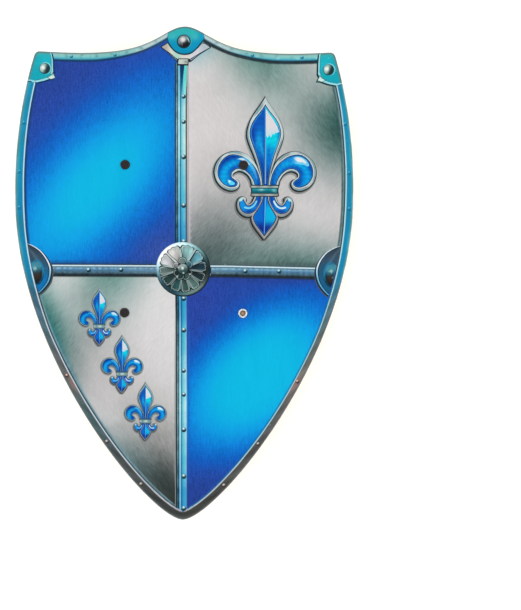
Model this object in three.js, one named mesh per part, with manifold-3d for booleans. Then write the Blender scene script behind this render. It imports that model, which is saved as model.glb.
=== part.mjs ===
// Toy heater shield: a flat plywood board with a rounded-shoulder heater outline, two
// leather arm straps bowed across its back, and four tubular rivets that clamp the strap
// ends through the board.
//
// Millimetres, +Z up. The shield lies face up: the decorated face looks along +Z, the top
// edge with its centre peak is towards +Y and the tip towards -Y. The origin is the centre
// of the bounding box at the level of the surface that the strap loops lie on.

import * as THREE from 'three';
import { mergeVertices } from 'three/addons/utils/BufferGeometryUtils.js';
import Module from 'manifold-3d';

// ---------------------------------------------------------------- driving dimensions

// board
const WIDTH = 300;               // across the widest part
const HEIGHT = 438;              // from the tip to the centre peak
const BOARD_T = 6;               // plywood thickness
const EDGE_EASE = 0.7;           // sanded rounding along both edges of the rim
const WIDEST_FROM_TIP = 285;     // level of the widest part above the tip
const TIP_HANDLE = 28;           // roundness of the tip
const FLANK_HANDLE = 141;        // length of the straight-ish pull of the lower flank
const SHOULDER_X = 133.8;        // end of the upper flank, where the corner starts
const SHOULDER_FROM_TIP = 411.5;
const UPPER_PULL = 8;            // handle of the upper flank at the widest part
const SHOULDER_HANDLE_X = 152.3; // handle of the upper flank below the shoulder
const SHOULDER_HANDLE_FROM_TIP = 349;
const TOP_START_X = 128.6;       // end of the corner rounding on the top edge
const PEAK_DROP = 30.3;          // how far the top edge falls away from the centre peak
const PEAK_SPREAD = 33.3;        // half width of the peak at half its drop
const HORN_RISE = 8;             // rise of the top edge again towards the corners

// straps
const STRAP_W = 20;
const STRAP_T = 2.4;
const STRAP_PAST_RIVET = 12.5;   // strap end beyond the rivet centre
const STRAP_FLAT_INSIDE = 6;     // strap stays flat on the board this far inside the rivet
const STRAP_BOW = 30;            // board back to the outer side of the loop's crest
const CREST_HALF = 12;           // half length of the crest, pressed flat by the lying shield

// rivets
const RIVET_X = 52.5;            // rivet columns left and right of the centre line
const RIVET_SPAN = 131.4;        // upper to lower rivet centres
const RIVET_LOW_FROM_TIP = 183.6;
const SHANK_R = 2.3;
const HOLE_R = 2.6;
const HEAD_R = 4.8;              // head on the back, over the strap
const HEAD_T = 1.9;
const CLENCH_R = 4.3;            // set end on the decorated face
const CLENCH_T = 1.15;
const BORE_R = 1.55;             // visible hollow at both ends

const GAP = 0.3;                 // clearance between pieces that lie on each other

// ---------------------------------------------------------------- derived levels

const TIP_Y = -HEIGHT / 2;
const BACK_Z = STRAP_BOW;                    // back face of the board
const FRONT_Z = BACK_Z + BOARD_T;            // decorated face
const LOW_Y = TIP_Y + RIVET_LOW_FROM_TIP;    // lower rivets
const HIGH_Y = LOW_Y + RIVET_SPAN;           // upper rivets
const MID_Y = (LOW_Y + HIGH_Y) / 2;

// ---------------------------------------------------------------- board outline

// height above the tip of the top edge at a distance x from the centre line
const topEdge = (x) =>
  HEIGHT - PEAK_DROP * (1 - 1 / (1 + (x / PEAK_SPREAD) ** 2)) + HORN_RISE * (x / (WIDTH / 2)) ** 2;

function rightHalf() {
  const W = WIDTH / 2;
  const v = (x, y) => new THREE.Vector2(x, y);
  const lower = new THREE.CubicBezierCurve(
    v(0, 0), v(TIP_HANDLE, 0), v(W, WIDEST_FROM_TIP - FLANK_HANDLE), v(W, WIDEST_FROM_TIP));
  const upper = new THREE.CubicBezierCurve(
    v(W, WIDEST_FROM_TIP), v(W, WIDEST_FROM_TIP + UPPER_PULL),
    v(SHOULDER_HANDLE_X, SHOULDER_HANDLE_FROM_TIP), v(SHOULDER_X, SHOULDER_FROM_TIP));
  const corner = new THREE.QuadraticBezierCurve(
    v(SHOULDER_X, SHOULDER_FROM_TIP), v(SHOULDER_X - 1.1, topEdge(SHOULDER_X - 1.1)),
    v(TOP_START_X, topEdge(TOP_START_X)));
  const points = [
    ...lower.getSpacedPoints(48), ...upper.getSpacedPoints(22).slice(1),
    ...corner.getPoints(6).slice(1)];
  const steps = 40;
  for (let i = 1; i <= steps; i++) {
    const x = TOP_START_X * (1 - i / steps);
    points.push(v(x, topEdge(x)));
  }
  return points;
}

function boardShape() {
  const half = rightHalf();
  const left = half.slice(1, -1).reverse().map((p) => new THREE.Vector2(-p.x, p.y));
  return new THREE.Shape([...half, ...left].map((p) => new THREE.Vector2(p.x, p.y + TIP_Y)));
}

// ---------------------------------------------------------------- booleans

const wasm = await Module();
wasm.setup();

function solid(geometry) {
  const g = geometry.clone();
  g.deleteAttribute('normal');
  g.deleteAttribute('uv');
  const m = mergeVertices(g, 1e-4);
  return new wasm.Manifold(new wasm.Mesh({
    numProp: 3,
    vertProperties: new Float32Array(m.attributes.position.array),
    triVerts: new Uint32Array(m.index.array),
  }));
}

function geometryOf(manifold) {
  const mesh = manifold.getMesh();
  const g = new THREE.BufferGeometry();
  g.setAttribute('position', new THREE.BufferAttribute(new Float32Array(mesh.vertProperties), 3));
  g.setIndex(new THREE.BufferAttribute(new Uint32Array(mesh.triVerts), 1));
  g.computeVertexNormals();
  return g;
}

function hole(x, y, z0, z1) {
  const g = new THREE.CylinderGeometry(HOLE_R, HOLE_R, z1 - z0, 20);
  g.rotateX(Math.PI / 2);
  g.translate(x, y, (z0 + z1) / 2);
  return solid(g);
}

// ---------------------------------------------------------------- board

function boardGeometry() {
  const g = new THREE.ExtrudeGeometry(boardShape(), {
    depth: BOARD_T - 2 * EDGE_EASE, steps: 1, bevelEnabled: true,
    bevelThickness: EDGE_EASE, bevelSize: EDGE_EASE, bevelOffset: -EDGE_EASE, bevelSegments: 2,
  });
  g.translate(0, 0, BACK_Z + EDGE_EASE);
  let board = solid(g);
  for (const x of [-RIVET_X, RIVET_X])
    for (const y of [LOW_Y, HIGH_Y])
      board = board.subtract(hole(x, y, BACK_Z - 2, FRONT_Z + 2));
  return geometryOf(board);
}

// ---------------------------------------------------------------- straps

// depth of the strap's middle line below its fixed ends, at a distance s from the middle
// of the loop: flat under the rivets, one smooth S down to the flat crest
function bow(s) {
  const deep = STRAP_BOW - GAP - STRAP_T;
  const a = Math.abs(s);
  const foot = RIVET_SPAN / 2 - STRAP_FLAT_INSIDE;
  if (a >= foot) return 0;
  if (a <= CREST_HALF) return deep;
  const t = (foot - a) / (foot - CREST_HALF);
  return deep * (1 - Math.cos(Math.PI * t)) / 2;
}

function strapSection() {
  const reach = RIVET_SPAN / 2 + STRAP_PAST_RIVET + 1;
  const steps = 56;
  const mid = (s) => new THREE.Vector2(s, BACK_Z - GAP - STRAP_T / 2 - bow(s));
  const upper = [], lower = [];
  for (let i = 0; i <= steps; i++) {
    const s = reach * (2 * i / steps - 1);
    const p = mid(s);
    const d = mid(s + 0.05).sub(mid(s - 0.05)).normalize();
    upper.push(new THREE.Vector2(p.x - d.y * STRAP_T / 2, p.y + d.x * STRAP_T / 2));
    lower.push(new THREE.Vector2(p.x + d.y * STRAP_T / 2, p.y - d.x * STRAP_T / 2));
  }
  return new THREE.Shape([...lower, ...upper.reverse()]);
}

function strapGeometry(x) {
  // side profile (length, height) swept across the strap's width
  const side = new THREE.ExtrudeGeometry(strapSection(), { depth: STRAP_W + 4, bevelEnabled: false });
  side.translate(0, 0, -(STRAP_W + 4) / 2);
  side.applyMatrix4(new THREE.Matrix4().makeBasis(
    new THREE.Vector3(0, 1, 0), new THREE.Vector3(0, 0, 1), new THREE.Vector3(1, 0, 0)));
  side.translate(x, MID_Y, 0);

  // plan outline: a band with half-round ends
  const plan = new THREE.Shape();
  const r = STRAP_W / 2, e = RIVET_SPAN / 2 + STRAP_PAST_RIVET - r;
  plan.absarc(0, e, r, 0, Math.PI, false);
  plan.absarc(0, -e, r, Math.PI, 2 * Math.PI, false);
  plan.closePath();
  const band = new THREE.ExtrudeGeometry(plan, { depth: BACK_Z + 4, bevelEnabled: false, curveSegments: 16 });
  band.translate(x, MID_Y, -2);

  let strap = solid(side).intersect(solid(band));
  for (const y of [LOW_Y, HIGH_Y]) strap = strap.subtract(hole(x, y, BACK_Z - 8, BACK_Z + 2));
  return geometryOf(strap);
}

// ---------------------------------------------------------------- rivets

function rivetGeometry() {
  const under = BACK_Z - 2 * GAP - STRAP_T;    // seat of the head on the strap
  const low = under - HEAD_T;                  // outermost ring of the head
  const over = FRONT_Z + GAP;                  // seat of the set end on the decorated face
  const high = over + CLENCH_T;
  const profile = [
    [0, low + 1.1], [BORE_R, low + 1.1], [BORE_R + 0.45, low + 0.3], [BORE_R + 1.15, low],
    [HEAD_R - 1.1, low + 0.22], [HEAD_R - 0.35, low + 0.75], [HEAD_R, low + 1.35],
    [HEAD_R - 0.15, under], [SHANK_R, under],
    [SHANK_R, over], [CLENCH_R - 0.2, over], [CLENCH_R, over + 0.3],
    [CLENCH_R - 0.35, over + 0.75], [CLENCH_R - 1.2, high - 0.08], [BORE_R + 0.75, high],
    [BORE_R + 0.2, high - 0.3], [BORE_R, high - 0.75], [0, high - 0.75],
  ].map(([r, z]) => new THREE.Vector2(r, z));
  const g = new THREE.LatheGeometry(profile, 20);
  g.rotateX(Math.PI / 2);
  const s = solid(g);
  return geometryOf(s);
}

// ---------------------------------------------------------------- assembly

const paintedWood = new THREE.MeshStandardMaterial({ color: 0x3d86a8, roughness: 0.45, metalness: 0 });
const blackLeather = new THREE.MeshStandardMaterial({ color: 0x16161a, roughness: 0.5, metalness: 0 });
const steel = new THREE.MeshStandardMaterial({ color: 0xb9bbb8, roughness: 0.3, metalness: 1 });

const shield = new THREE.Group();
shield.name = 'toy_heater_shield';

function add(parent, name, geometry, material) {
  const mesh = new THREE.Mesh(geometry, material.clone());
  mesh.name = name;
  parent.add(mesh);
  return mesh;
}

add(shield, 'board', boardGeometry(), paintedWood);

const straps = new THREE.Group();
add(straps, 'strap_left', strapGeometry(-RIVET_X), blackLeather);
add(straps, 'strap_right', strapGeometry(RIVET_X), blackLeather);
shield.add(straps);

const rivets = new THREE.Group();
for (const [side, x] of [['left', -RIVET_X], ['right', RIVET_X]])
  for (const [level, y] of [['lower', LOW_Y], ['upper', HIGH_Y]]) {
    const rivet = add(rivets, `rivet_${level}_${side}`, rivetGeometry(), steel);
    rivet.position.set(x, y, 0);
  }
shield.add(rivets);

export default shield;
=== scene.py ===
"""Looks of a toy heater shield: a flat plywood board with a printed face, two black
leather arm straps and four tubular rivets. It lies face up on the crests of its strap
loops. The print is built as flat coloured regions of the face's own mesh."""

from math import pi, cos, sin, hypot, atan2

import bpy
import numpy as np
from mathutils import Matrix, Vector
from mathutils.geometry import delaunay_2d_cdt


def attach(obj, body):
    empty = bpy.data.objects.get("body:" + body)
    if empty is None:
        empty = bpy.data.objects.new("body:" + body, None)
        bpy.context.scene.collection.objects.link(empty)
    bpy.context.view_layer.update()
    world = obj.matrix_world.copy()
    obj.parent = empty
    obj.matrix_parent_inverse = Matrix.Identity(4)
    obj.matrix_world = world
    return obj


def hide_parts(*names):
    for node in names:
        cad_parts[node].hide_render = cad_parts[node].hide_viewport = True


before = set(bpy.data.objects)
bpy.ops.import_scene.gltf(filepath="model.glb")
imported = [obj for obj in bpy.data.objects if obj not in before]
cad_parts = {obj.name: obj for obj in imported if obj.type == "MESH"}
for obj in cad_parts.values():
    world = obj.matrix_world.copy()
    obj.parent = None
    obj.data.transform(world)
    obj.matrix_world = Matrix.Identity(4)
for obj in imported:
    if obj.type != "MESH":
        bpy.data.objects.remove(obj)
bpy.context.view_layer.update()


# ================================================================== the print
# The printed picture, worked out as flat regions on the board's face. All sizes in mm.
# Two frames: board frame (u, v), u from the centre line, v up from the tip; and print
# frame (p, q), which sits a little askew on the board, as printed sheets do.

WIDTH, HEIGHT = 300.0, 438.0
PRINT_OFF, PRINT_SKEW = -0.46, -0.00507


def to_board(P):
    P = np.asarray(P, float)
    return np.stack([P[..., 0] + PRINT_OFF + PRINT_SKEW * P[..., 1], P[..., 1]], -1)


def to_print(P):
    P = np.asarray(P, float)
    return np.stack([P[..., 0] - PRINT_OFF - PRINT_SKEW * P[..., 1], P[..., 1]], -1)


def rgb(r, g, b):
    return np.array([r, g, b], float) / 255.0


def mix(a, b, t):
    t = np.clip(np.asarray(t, float), 0, 1)[..., None]
    return np.asarray(a) * (1 - t) + np.asarray(b) * t


def smooth(e0, e1, x):
    t = np.clip((np.asarray(x, float) - e0) / (e1 - e0), 0, 1)
    return t * t * (3 - 2 * t)


def ramp(x, stops):
    """Colour along a list of (position, colour) stops."""
    xs = np.array([s[0] for s in stops], float)
    cs = np.array([s[1] for s in stops], float)
    return np.stack([np.interp(x, xs, cs[:, i]) for i in range(3)], -1)


def bezier(p0, p1, p2, p3, n):
    t = np.linspace(0, 1, n + 1)[:, None]
    p0, p1, p2, p3 = (np.asarray(p, float) for p in (p0, p1, p2, p3))
    return (1 - t) ** 3 * p0 + 3 * (1 - t) ** 2 * t * p1 + 3 * (1 - t) * t * t * p2 + t ** 3 * p3


def spline(points, n=5, closed=True):
    """Centripetal-like Catmull-Rom curve through points."""
    P = np.asarray(points, float)
    m = len(P)
    out = []
    for i in range(m if closed else m - 1):
        if closed:
            a, b, c, d = P[(i - 1) % m], P[i], P[(i + 1) % m], P[(i + 2) % m]
        else:
            a, b, c, d = P[max(i - 1, 0)], P[i], P[i + 1], P[min(i + 2, m - 1)]
        L = hypot(*(c - b))
        ta = (c - a) / 2
        td = (d - b) / 2
        for t in (ta, td):
            k = hypot(*t)
            if k > L:
                t *= L / k
        for j in range(n):
            s = j / n
            out.append((2 * s ** 3 - 3 * s * s + 1) * b + (s ** 3 - 2 * s * s + s) * ta
                       + (-2 * s ** 3 + 3 * s * s) * c + (s ** 3 - s * s) * td)
    if not closed:
        out.append(P[-1])
    return np.array(out)


def resample(P, step, closed=True):
    P = np.asarray(P, float)
    Q = np.vstack([P, P[:1]]) if closed else P
    seg = np.hypot(*np.diff(Q, axis=0).T)
    s = np.r_[0, np.cumsum(seg)]
    n = max(3, int(round(s[-1] / step)))
    t = np.linspace(0, s[-1], n + 1)
    out = np.stack([np.interp(t, s, Q[:, 0]), np.interp(t, s, Q[:, 1])], -1)
    return out[:-1] if closed else out


def area(P):
    x, y = P[:, 0], P[:, 1]
    return 0.5 * np.sum(x * np.roll(y, -1) - np.roll(x, -1) * y)


def grow(P, d):
    """Move a closed outline outwards by d (inwards if negative)."""
    P = np.asarray(P, float)
    keep = np.hypot(*(P - np.roll(P, 1, axis=0)).T) > 1e-6
    P = P[keep]
    if area(P) < 0:
        P = P[::-1]
    a = P - np.roll(P, 1, axis=0)
    b = np.roll(P, -1, axis=0) - P
    na = np.stack([a[:, 1], -a[:, 0]], -1) / np.hypot(*a.T)[:, None]
    nb = np.stack([b[:, 1], -b[:, 0]], -1) / np.hypot(*b.T)[:, None]
    n = na + nb
    L = np.hypot(*n.T)
    L[L < 1e-6] = 1
    n /= L[:, None]
    k = 1 / np.clip((n * nb).sum(1), 0.6, 1)
    return P + n * (k * d)[:, None]


def circle(c, r, n=24, ry=None, turn=0.0):
    t = np.linspace(0, 2 * pi, n, endpoint=False)
    x, y = r * np.cos(t), (ry if ry else r) * np.sin(t)
    return np.stack([c[0] + x * cos(turn) - y * sin(turn), c[1] + x * sin(turn) + y * cos(turn)], -1)


def band(line, w0, w1=None):
    """A stroke along an open line, w0 wide at its start and w1 at its end."""
    line = np.asarray(line, float)
    w1 = w0 if w1 is None else w1
    d = np.gradient(line, axis=0)
    n = np.stack([-d[:, 1], d[:, 0]], -1) / np.maximum(np.hypot(*d.T), 1e-9)[:, None]
    w = np.linspace(w0, w1, len(line))[:, None] / 2
    return np.vstack([line + n * w, (line - n * w)[::-1]])


# ------------------------------------------------------------------ outline

def top_edge(u):
    return HEIGHT - 30.3 * (1 - 1 / (1 + (u / 33.3) ** 2)) + 8 * (u / 150.0) ** 2


def right_half(n_low=60, n_up=26, n_top=46):
    lower = bezier((0, 0), (28, 0), (150, 144), (150, 285), 4 * n_low)
    lower = resample(lower, 1.0, closed=False)
    upper = resample(bezier((150, 285), (150, 293), (152.3, 349), (133.8, 411.5), 100), 1.0, closed=False)
    t = np.linspace(0, 1, 9)[:, None]
    a, b, c = (np.array(p) for p in ((133.8, 411.5), (132.7, top_edge(132.7)), (128.6, top_edge(128.6))))
    corner = (1 - t) ** 2 * a + 2 * (1 - t) * t * b + t * t * c
    x = np.linspace(128.6, 0, 140)
    top = np.stack([x, top_edge(x)], -1)
    return np.vstack([lower, upper[1:], corner[1:], top[1:]])


def outline(step=2.5):
    h = right_half()
    P = np.vstack([h, (h[1:-1] * [-1, 1])[::-1]])
    return P if step is None else resample(P, step)


OUT = outline(None)


def inside(poly, Q):
    """Which points lie inside a closed outline, by winding number."""
    A, B = poly, np.roll(poly, -1, axis=0)
    wind = np.zeros(len(Q), int)
    for i0 in range(0, len(Q), 4000):
        x, y = Q[i0:i0 + 4000, 0][:, None], Q[i0:i0 + 4000, 1][:, None]
        left = (B[:, 0] - A[:, 0]) * (y - A[:, 1]) - (x - A[:, 0]) * (B[:, 1] - A[:, 1])
        up = (A[:, 1] <= y) & (B[:, 1] > y) & (left > 0)
        down = (A[:, 1] > y) & (B[:, 1] <= y) & (left < 0)
        wind[i0:i0 + 4000] = up.sum(1) - down.sum(1)
    return wind != 0


def _distance_grid(step=2.0):
    """Distance from the outline, negative outside, on a regular grid."""
    us = np.arange(-158, 158 + step, step)
    vs = np.arange(-8, 446 + step, step)
    Q = np.stack(np.meshgrid(us, vs), -1).reshape(-1, 2)
    O = resample(OUT, 1.5)
    A, D = O, np.roll(O, -1, axis=0) - O
    L2 = (D ** 2).sum(1)
    best = np.empty(len(Q))
    for i0 in range(0, len(Q), 2000):
        x = Q[i0:i0 + 2000, 0][:, None] - A[:, 0]
        y = Q[i0:i0 + 2000, 1][:, None] - A[:, 1]
        t = np.clip((x * D[:, 0] + y * D[:, 1]) / L2, 0, 1)
        best[i0:i0 + 2000] = np.sqrt(((x - t * D[:, 0]) ** 2 + (y - t * D[:, 1]) ** 2).min(1))
    best[~inside(O, Q)] *= -1
    return us, vs, best.reshape(len(vs), len(us))


_GRID = _distance_grid()


def edge_distance(Q):
    """Distance of board-frame points from the outline, inwards."""
    us, vs, G = _GRID
    Q = np.asarray(Q, float).reshape(-1, 2)
    step = us[1] - us[0]
    x = np.clip((Q[:, 0] - us[0]) / step, 0, len(us) - 1.001)
    y = np.clip((Q[:, 1] - vs[0]) / step, 0, len(vs) - 1.001)
    i, j = x.astype(int), y.astype(int)
    x, y = x - i, y - j
    d = (G[j, i] * (1 - x) * (1 - y) + G[j, i + 1] * x * (1 - y) + G[j + 1, i] * (1 - x) * y + G[j + 1, i + 1] * x * y)
    return np.maximum(d, 0)


# ------------------------------------------------------------------ layers

LAYERS = []


class Layer:
    def __init__(self, name, poly, color, step=0.0, extra=None, lines=None, kind="ink"):
        self.name, self.poly, self.color = name, np.asarray(poly, float), color
        self.step, self.extra, self.lines, self.kind = step, extra, lines or [], kind
        LAYERS.append(self)


def flat(c):
    c = np.asarray(c, float)
    return lambda Q: np.broadcast_to(c, (len(Q), 3))


def in_print(fn):
    return lambda Q: fn(to_print(Q))


def inner_line(d):
    """The outline moved inwards by d, with the two top corners kept clean."""
    h = right_half()
    lower_n = np.argmax(h[:, 1] > 411.4)
    side = h[:lower_n]
    a = np.gradient(side, axis=0)
    n = np.stack([-a[:, 1], a[:, 0]], -1) / np.hypot(*a.T)[:, None]
    s = side + n * d
    s = s[s[:, 0] > 24]
    x = np.linspace(140, 0, 180)
    y = top_edge(x)
    g = np.gradient(np.stack([x, y], -1), axis=0)
    m = np.stack([-g[:, 1], g[:, 0]], -1) / np.hypot(*g.T)[:, None]
    t = np.stack([x, y], -1) + m * d
    t = t[t[:, 0] > 0.3]
    # meet of side and top
    ts = np.interp(s[:, 0], t[::-1, 0], t[::-1, 1])
    cut = np.argmax((s[:, 1] > ts) & (s[:, 1] > 300))
    cut = cut if cut > 0 else len(s)
    s = s[:cut]
    t = t[t[:, 0] < s[-1, 0] - 0.2]
    # towards the tip the inner lines run on nearly straight and meet in a point
    slope = (s[6, 1] - s[0, 1]) / (s[6, 0] - s[0, 0])
    low = max(s[0, 1] - s[0, 0] * slope * 0.92, 0.0) if d > 3 else side[np.argmin(np.abs(side[:, 0])), 1] + d
    w = min(d / 3.0, 1.0)
    x = np.linspace(0, s[0, 0], 14)[:-1]
    straight = low + (s[0, 1] - low) * (x / s[0, 0]) ** (1.0 + 0.10 * (1 - w))
    nat = side + n * d
    nat = nat[np.argsort(nat[:, 0])]
    natural = np.interp(x, nat[:, 0], nat[:, 1])
    foot = np.stack([x, natural * (1 - w) + straight * w], -1)
    half = np.vstack([foot, s, t, [(0.0, t[-1, 1])]])
    P = np.vstack([half, (half[1:-1] * [-1, 1])[::-1]])
    return resample(P, 2.4)


# rim: lines drawn in from the cut edge, then the colours across it
RIM_D = [0.0, 0.45, 1.1, 2.0, 3.0, 4.1, 4.6, 5.0, 5.4, 5.8, 6.2, 6.6, 7.0, 7.4, 7.8, 8.3, 9.0, 10.0, 11.0]


def rim_x(Q):
    """Place across the rim: 0 at the cut edge, 6 on the bright inner line, past 8 is field."""
    d = edge_distance(Q)
    v = Q[:, 1]
    left = np.interp(v, [0, 20, 50, 90, 130, 168, 210, 270, 330, 370], [7.9, 7.5, 7.1, 6.7, 6.2, 5.6, 6.6, 7.5, 7.1, 6.8])
    right = np.interp(v, [0, 20, 50, 90, 130, 168, 210, 270, 330, 370], [7.9, 7.3, 6.6, 5.9, 5.6, 5.2, 5.8, 6.7, 6.0, 5.2])
    hd = np.where(Q[:, 0] < 0, left, right)
    side = np.where(d < hd, d / hd * 6, 6 + (d - hd))
    th = np.interp(np.abs(Q[:, 0]), [0, 30, 52, 78, 140], [3.8, 4.1, 4.7, 6.2, 6.2])
    top = np.where(d < th, d / th * 6, 6 + (d - th))
    return side, top


def is_top(Q):
    u, v = Q[:, 0], Q[:, 1]
    return (v > top_edge(np.clip(np.abs(u), 0, 134)) - 11.5) & (v > 395) & (np.abs(u) < 139)


def rim_color(Q):
    u, v = Q[:, 0], Q[:, 1]
    x, xt = rim_x(Q)
    d0 = edge_distance(Q)
    left = u < 0
    n = 0.5 + 0.5 * np.sin(v / 8.3 + 1.3 * left) * np.sin(v / 21.0 + 2)
    # upper sides
    up = ramp(x, [(0, rgb(176, 200, 206)), (0.5, rgb(106, 152, 164)), (1.2, rgb(72, 148, 168)), (2.0, rgb(40, 149, 176)), (3.0, rgb(18, 144, 180)), (4.2, rgb(14, 139, 182)), (5.0, rgb(26, 140, 178)),
                  (5.35, rgb(30, 128, 164)), (5.65, rgb(190, 232, 246)), (6.25, rgb(206, 236, 250)), (6.6, rgb(24, 74, 116)), (7.4, rgb(18, 60, 108)), (8.3, rgb(24, 70, 128))])
    upr = ramp(x, [(0, rgb(186, 214, 218)), (0.5, rgb(112, 170, 182)), (1.2, rgb(64, 150, 174)), (2.0, rgb(34, 146, 178)), (3.0, rgb(20, 146, 184)), (4.2, rgb(22, 143, 184)), (5.0, rgb(40, 150, 184)),
                   (5.35, rgb(48, 140, 172)), (5.65, rgb(190, 234, 246)), (6.25, rgb(200, 232, 244)), (6.7, rgb(40, 62, 70)), (7.3, rgb(34, 56, 64)), (7.9, rgb(122, 152, 156)), (8.6, rgb(90, 122, 124)), (9.3, rgb(62, 90, 90)), (10.2, rgb(80, 106, 106))])
    c = np.where(left[:, None], up, upr)
    core = smooth(1.0, 2.2, x) * (1 - smooth(4.8, 5.5, x))
    c = mix(c, rgb(8, 118, 168), 0.45 * core * smooth(320, 270, v))
    c = mix(c, rgb(40, 118, 132), 0.40 * core * smooth(0.60, 0.95, n))
    c = mix(c, rgb(84, 178, 184), 0.35 * smooth(0.5, 1.2, x) * smooth(3.4, 1.8, x) * smooth(0.45, 0.1, n))
    c = mix(c, rgb(70, 120, 112), 0.45 * smooth(1.6, 0.6, x) * smooth(0.35, 0.75, 0.5 + 0.5 * np.sin(v / 5.1)))
    # lower flanks: dull steel with a light inner line
    lo_l = ramp(x, [(0, rgb(176, 182, 184)), (0.6, rgb(100, 110, 114)), (1.3, rgb(84, 100, 104)), (3.0, rgb(78, 96, 100)), (4.9, rgb(78, 92, 98)), (5.35, rgb(96, 110, 116)), (5.65, rgb(206, 220, 228)), (6.3, rgb(206, 216, 224)), (6.65, rgb(34, 52, 62)),
                    (7.3, rgb(36, 62, 76)), (7.9, rgb(108, 146, 158)), (8.6, rgb(120, 154, 162)), (9.4, rgb(110, 140, 146))])
    lo_r = ramp(x, [(0, rgb(166, 168, 166)), (0.6, rgb(100, 104, 104)), (1.3, rgb(98, 102, 100)), (3.0, rgb(92, 96, 94)), (4.7, rgb(90, 98, 98)), (5.35, rgb(70, 84, 90)), (5.65, rgb(176, 218, 228)), (6.3, rgb(150, 208, 224)), (6.7, rgb(30, 96, 140)), (7.4, rgb(24, 110, 166))])
    lc = np.where(left[:, None], lo_l, lo_r)
    mid = smooth(0.6, 1.4, x) * (1 - smooth(4.9, 5.6, x))
    tone_l = ramp(v, [(10, rgb(74, 75, 72)), (30, rgb(74, 77, 75)), (50, rgb(80, 82, 82)), (90, rgb(64, 89, 91)), (118, rgb(98, 104, 104)), (140, rgb(106, 102, 102)), (165, rgb(72, 104, 114)), (190, rgb(60, 100, 124)), (215, rgb(48, 104, 136))])
    tone_r = ramp(v, [(10, rgb(78, 78, 72)), (30, rgb(78, 77, 74)), (50, rgb(77, 75, 74)), (90, rgb(86, 88, 87)), (118, rgb(118, 108, 100)), (140, rgb(114, 114, 108)), (165, rgb(92, 112, 114)), (190, rgb(76, 116, 134)), (215, rgb(54, 116, 148))])
    lc = mix(lc, np.where(left[:, None], tone_l, tone_r) * (0.90 + 0.20 * n)[:, None], 0.8 * mid)
    lc = lc * (1 + 0.12 * np.sin(v * 0.31 + d0 * 0.6) * np.sin(v * 0.17 + 1.0) * mid - 0.20 * mid * smooth(52, 22, v))[:, None]
    # rust-red smudge round the rivets half way down
    red = np.exp(-((v - 121) / 7.0) ** 2) * smooth(2.0, 3.4, x) * (1 - smooth(5.4, 6.0, x))
    lc = mix(lc, rgb(168, 112, 102), 0.55 * red)
    # the inner line whitens towards the tip
    lc = mix(lc, rgb(196, 192, 198), 0.8 * smooth(80, 20, v) * smooth(5.4, 5.7, x) * smooth(6.5, 6.25, x))
    low = smooth(232, 190, v)
    c = mix(c, lc, low)
    fieldc = np.where(left[:, None], np.where((v > 221)[:, None], ul_color(Q), ll_color(Q)), np.where((v > 221)[:, None], ur_color(Q), lr_color(Q)))
    start = np.where(v > 221, np.where(left, 8.0, 9.4), np.where(left, 8.2, 6.8))
    c = mix(c, fieldc, smooth(0, 1.4, x - start))
    # top edge
    a = np.abs(u)
    t = ramp(xt, [(0, rgb(140, 160, 160)), (0.6, rgb(98, 126, 126)), (1.5, rgb(148, 190, 182)), (2.8, rgb(136, 202, 196)), (4.0, rgb(114, 194, 198)), (5.0, rgb(82, 174, 190)), (5.7, rgb(58, 144, 170)), (6.3, rgb(30, 92, 124)), (7.0, rgb(18, 62, 96))])
    silver = mix(rgb(150, 176, 176), rgb(196, 214, 216), np.exp(-((xt - 3.8) / 1.8) ** 2))
    t = mix(t, silver, smooth(66, 34, a) * smooth(0.4, 1.4, xt) * (1 - smooth(5.6, 6.3, xt)))
    t = mix(t, rgb(126, 186, 182), 0.6 * smooth(92, 60, a) * smooth(30, 50, a) * smooth(0.6, 1.6, xt) * (1 - smooth(4.4, 5.6, xt)))
    t = mix(t, rgb(60, 110, 120), 0.5 * smooth(0.55, 0.9, np.sin(u * 0.71 + 0.6) * np.sin(u * 0.23 + 1.1)) * smooth(1.0, 2.0, xt) * smooth(5.4, 4.2, xt))
    t = mix(t, rgb(200, 232, 230), 0.5 * smooth(0.5, 0.9, np.sin(u * 0.53 + 2.0) * np.sin(u * 0.17)) * np.exp(-((xt - 4.4) / 0.8) ** 2))
    shade = np.where(left[:, None], rgb(18, 58, 98), rgb(34, 52, 58))
    shade = mix(shade, np.where(left[:, None], rgb(40, 66, 96), rgb(44, 52, 56)), smooth(60, 30, a))
    t = mix(t, shade, smooth(6.1, 6.8, xt))
    wide = np.where(left, 7.4, 8.6)
    t = mix(t, np.where(left[:, None], ul_color(Q), ur_color(Q)), smooth(0, 1.2, xt - wide))
    return np.where(is_top(Q)[:, None], t, c)


def blue_field(cx, cy, A, B, turn, n, g0, g1):
    stops = [(50, rgb(44, 62, 146)), (68, rgb(36, 68, 158)), (80, rgb(24, 79, 174)), (92, rgb(8, 91, 188)), (104, rgb(3, 103, 197)),
             (116, rgb(2, 115, 206)), (128, rgb(1, 127, 213)), (140, rgb(1, 139, 218)), (152, rgb(1, 154, 224)),
             (165, rgb(1, 165, 228)), (176, rgb(1, 176, 226)), (190, rgb(0, 187, 226))]

    def fn(Q):
        P = to_print(Q)
        x, y = P[:, 0] - cx, P[:, 1] - cy
        a = (x * cos(turn) + y * sin(turn)) / A
        b = (-x * sin(turn) + y * cos(turn)) / B
        g = g0 + (g1 - g0) * np.exp(-0.5 * np.hypot(a, b) ** n)
        return ramp(g, stops), P
    return fn


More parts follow.
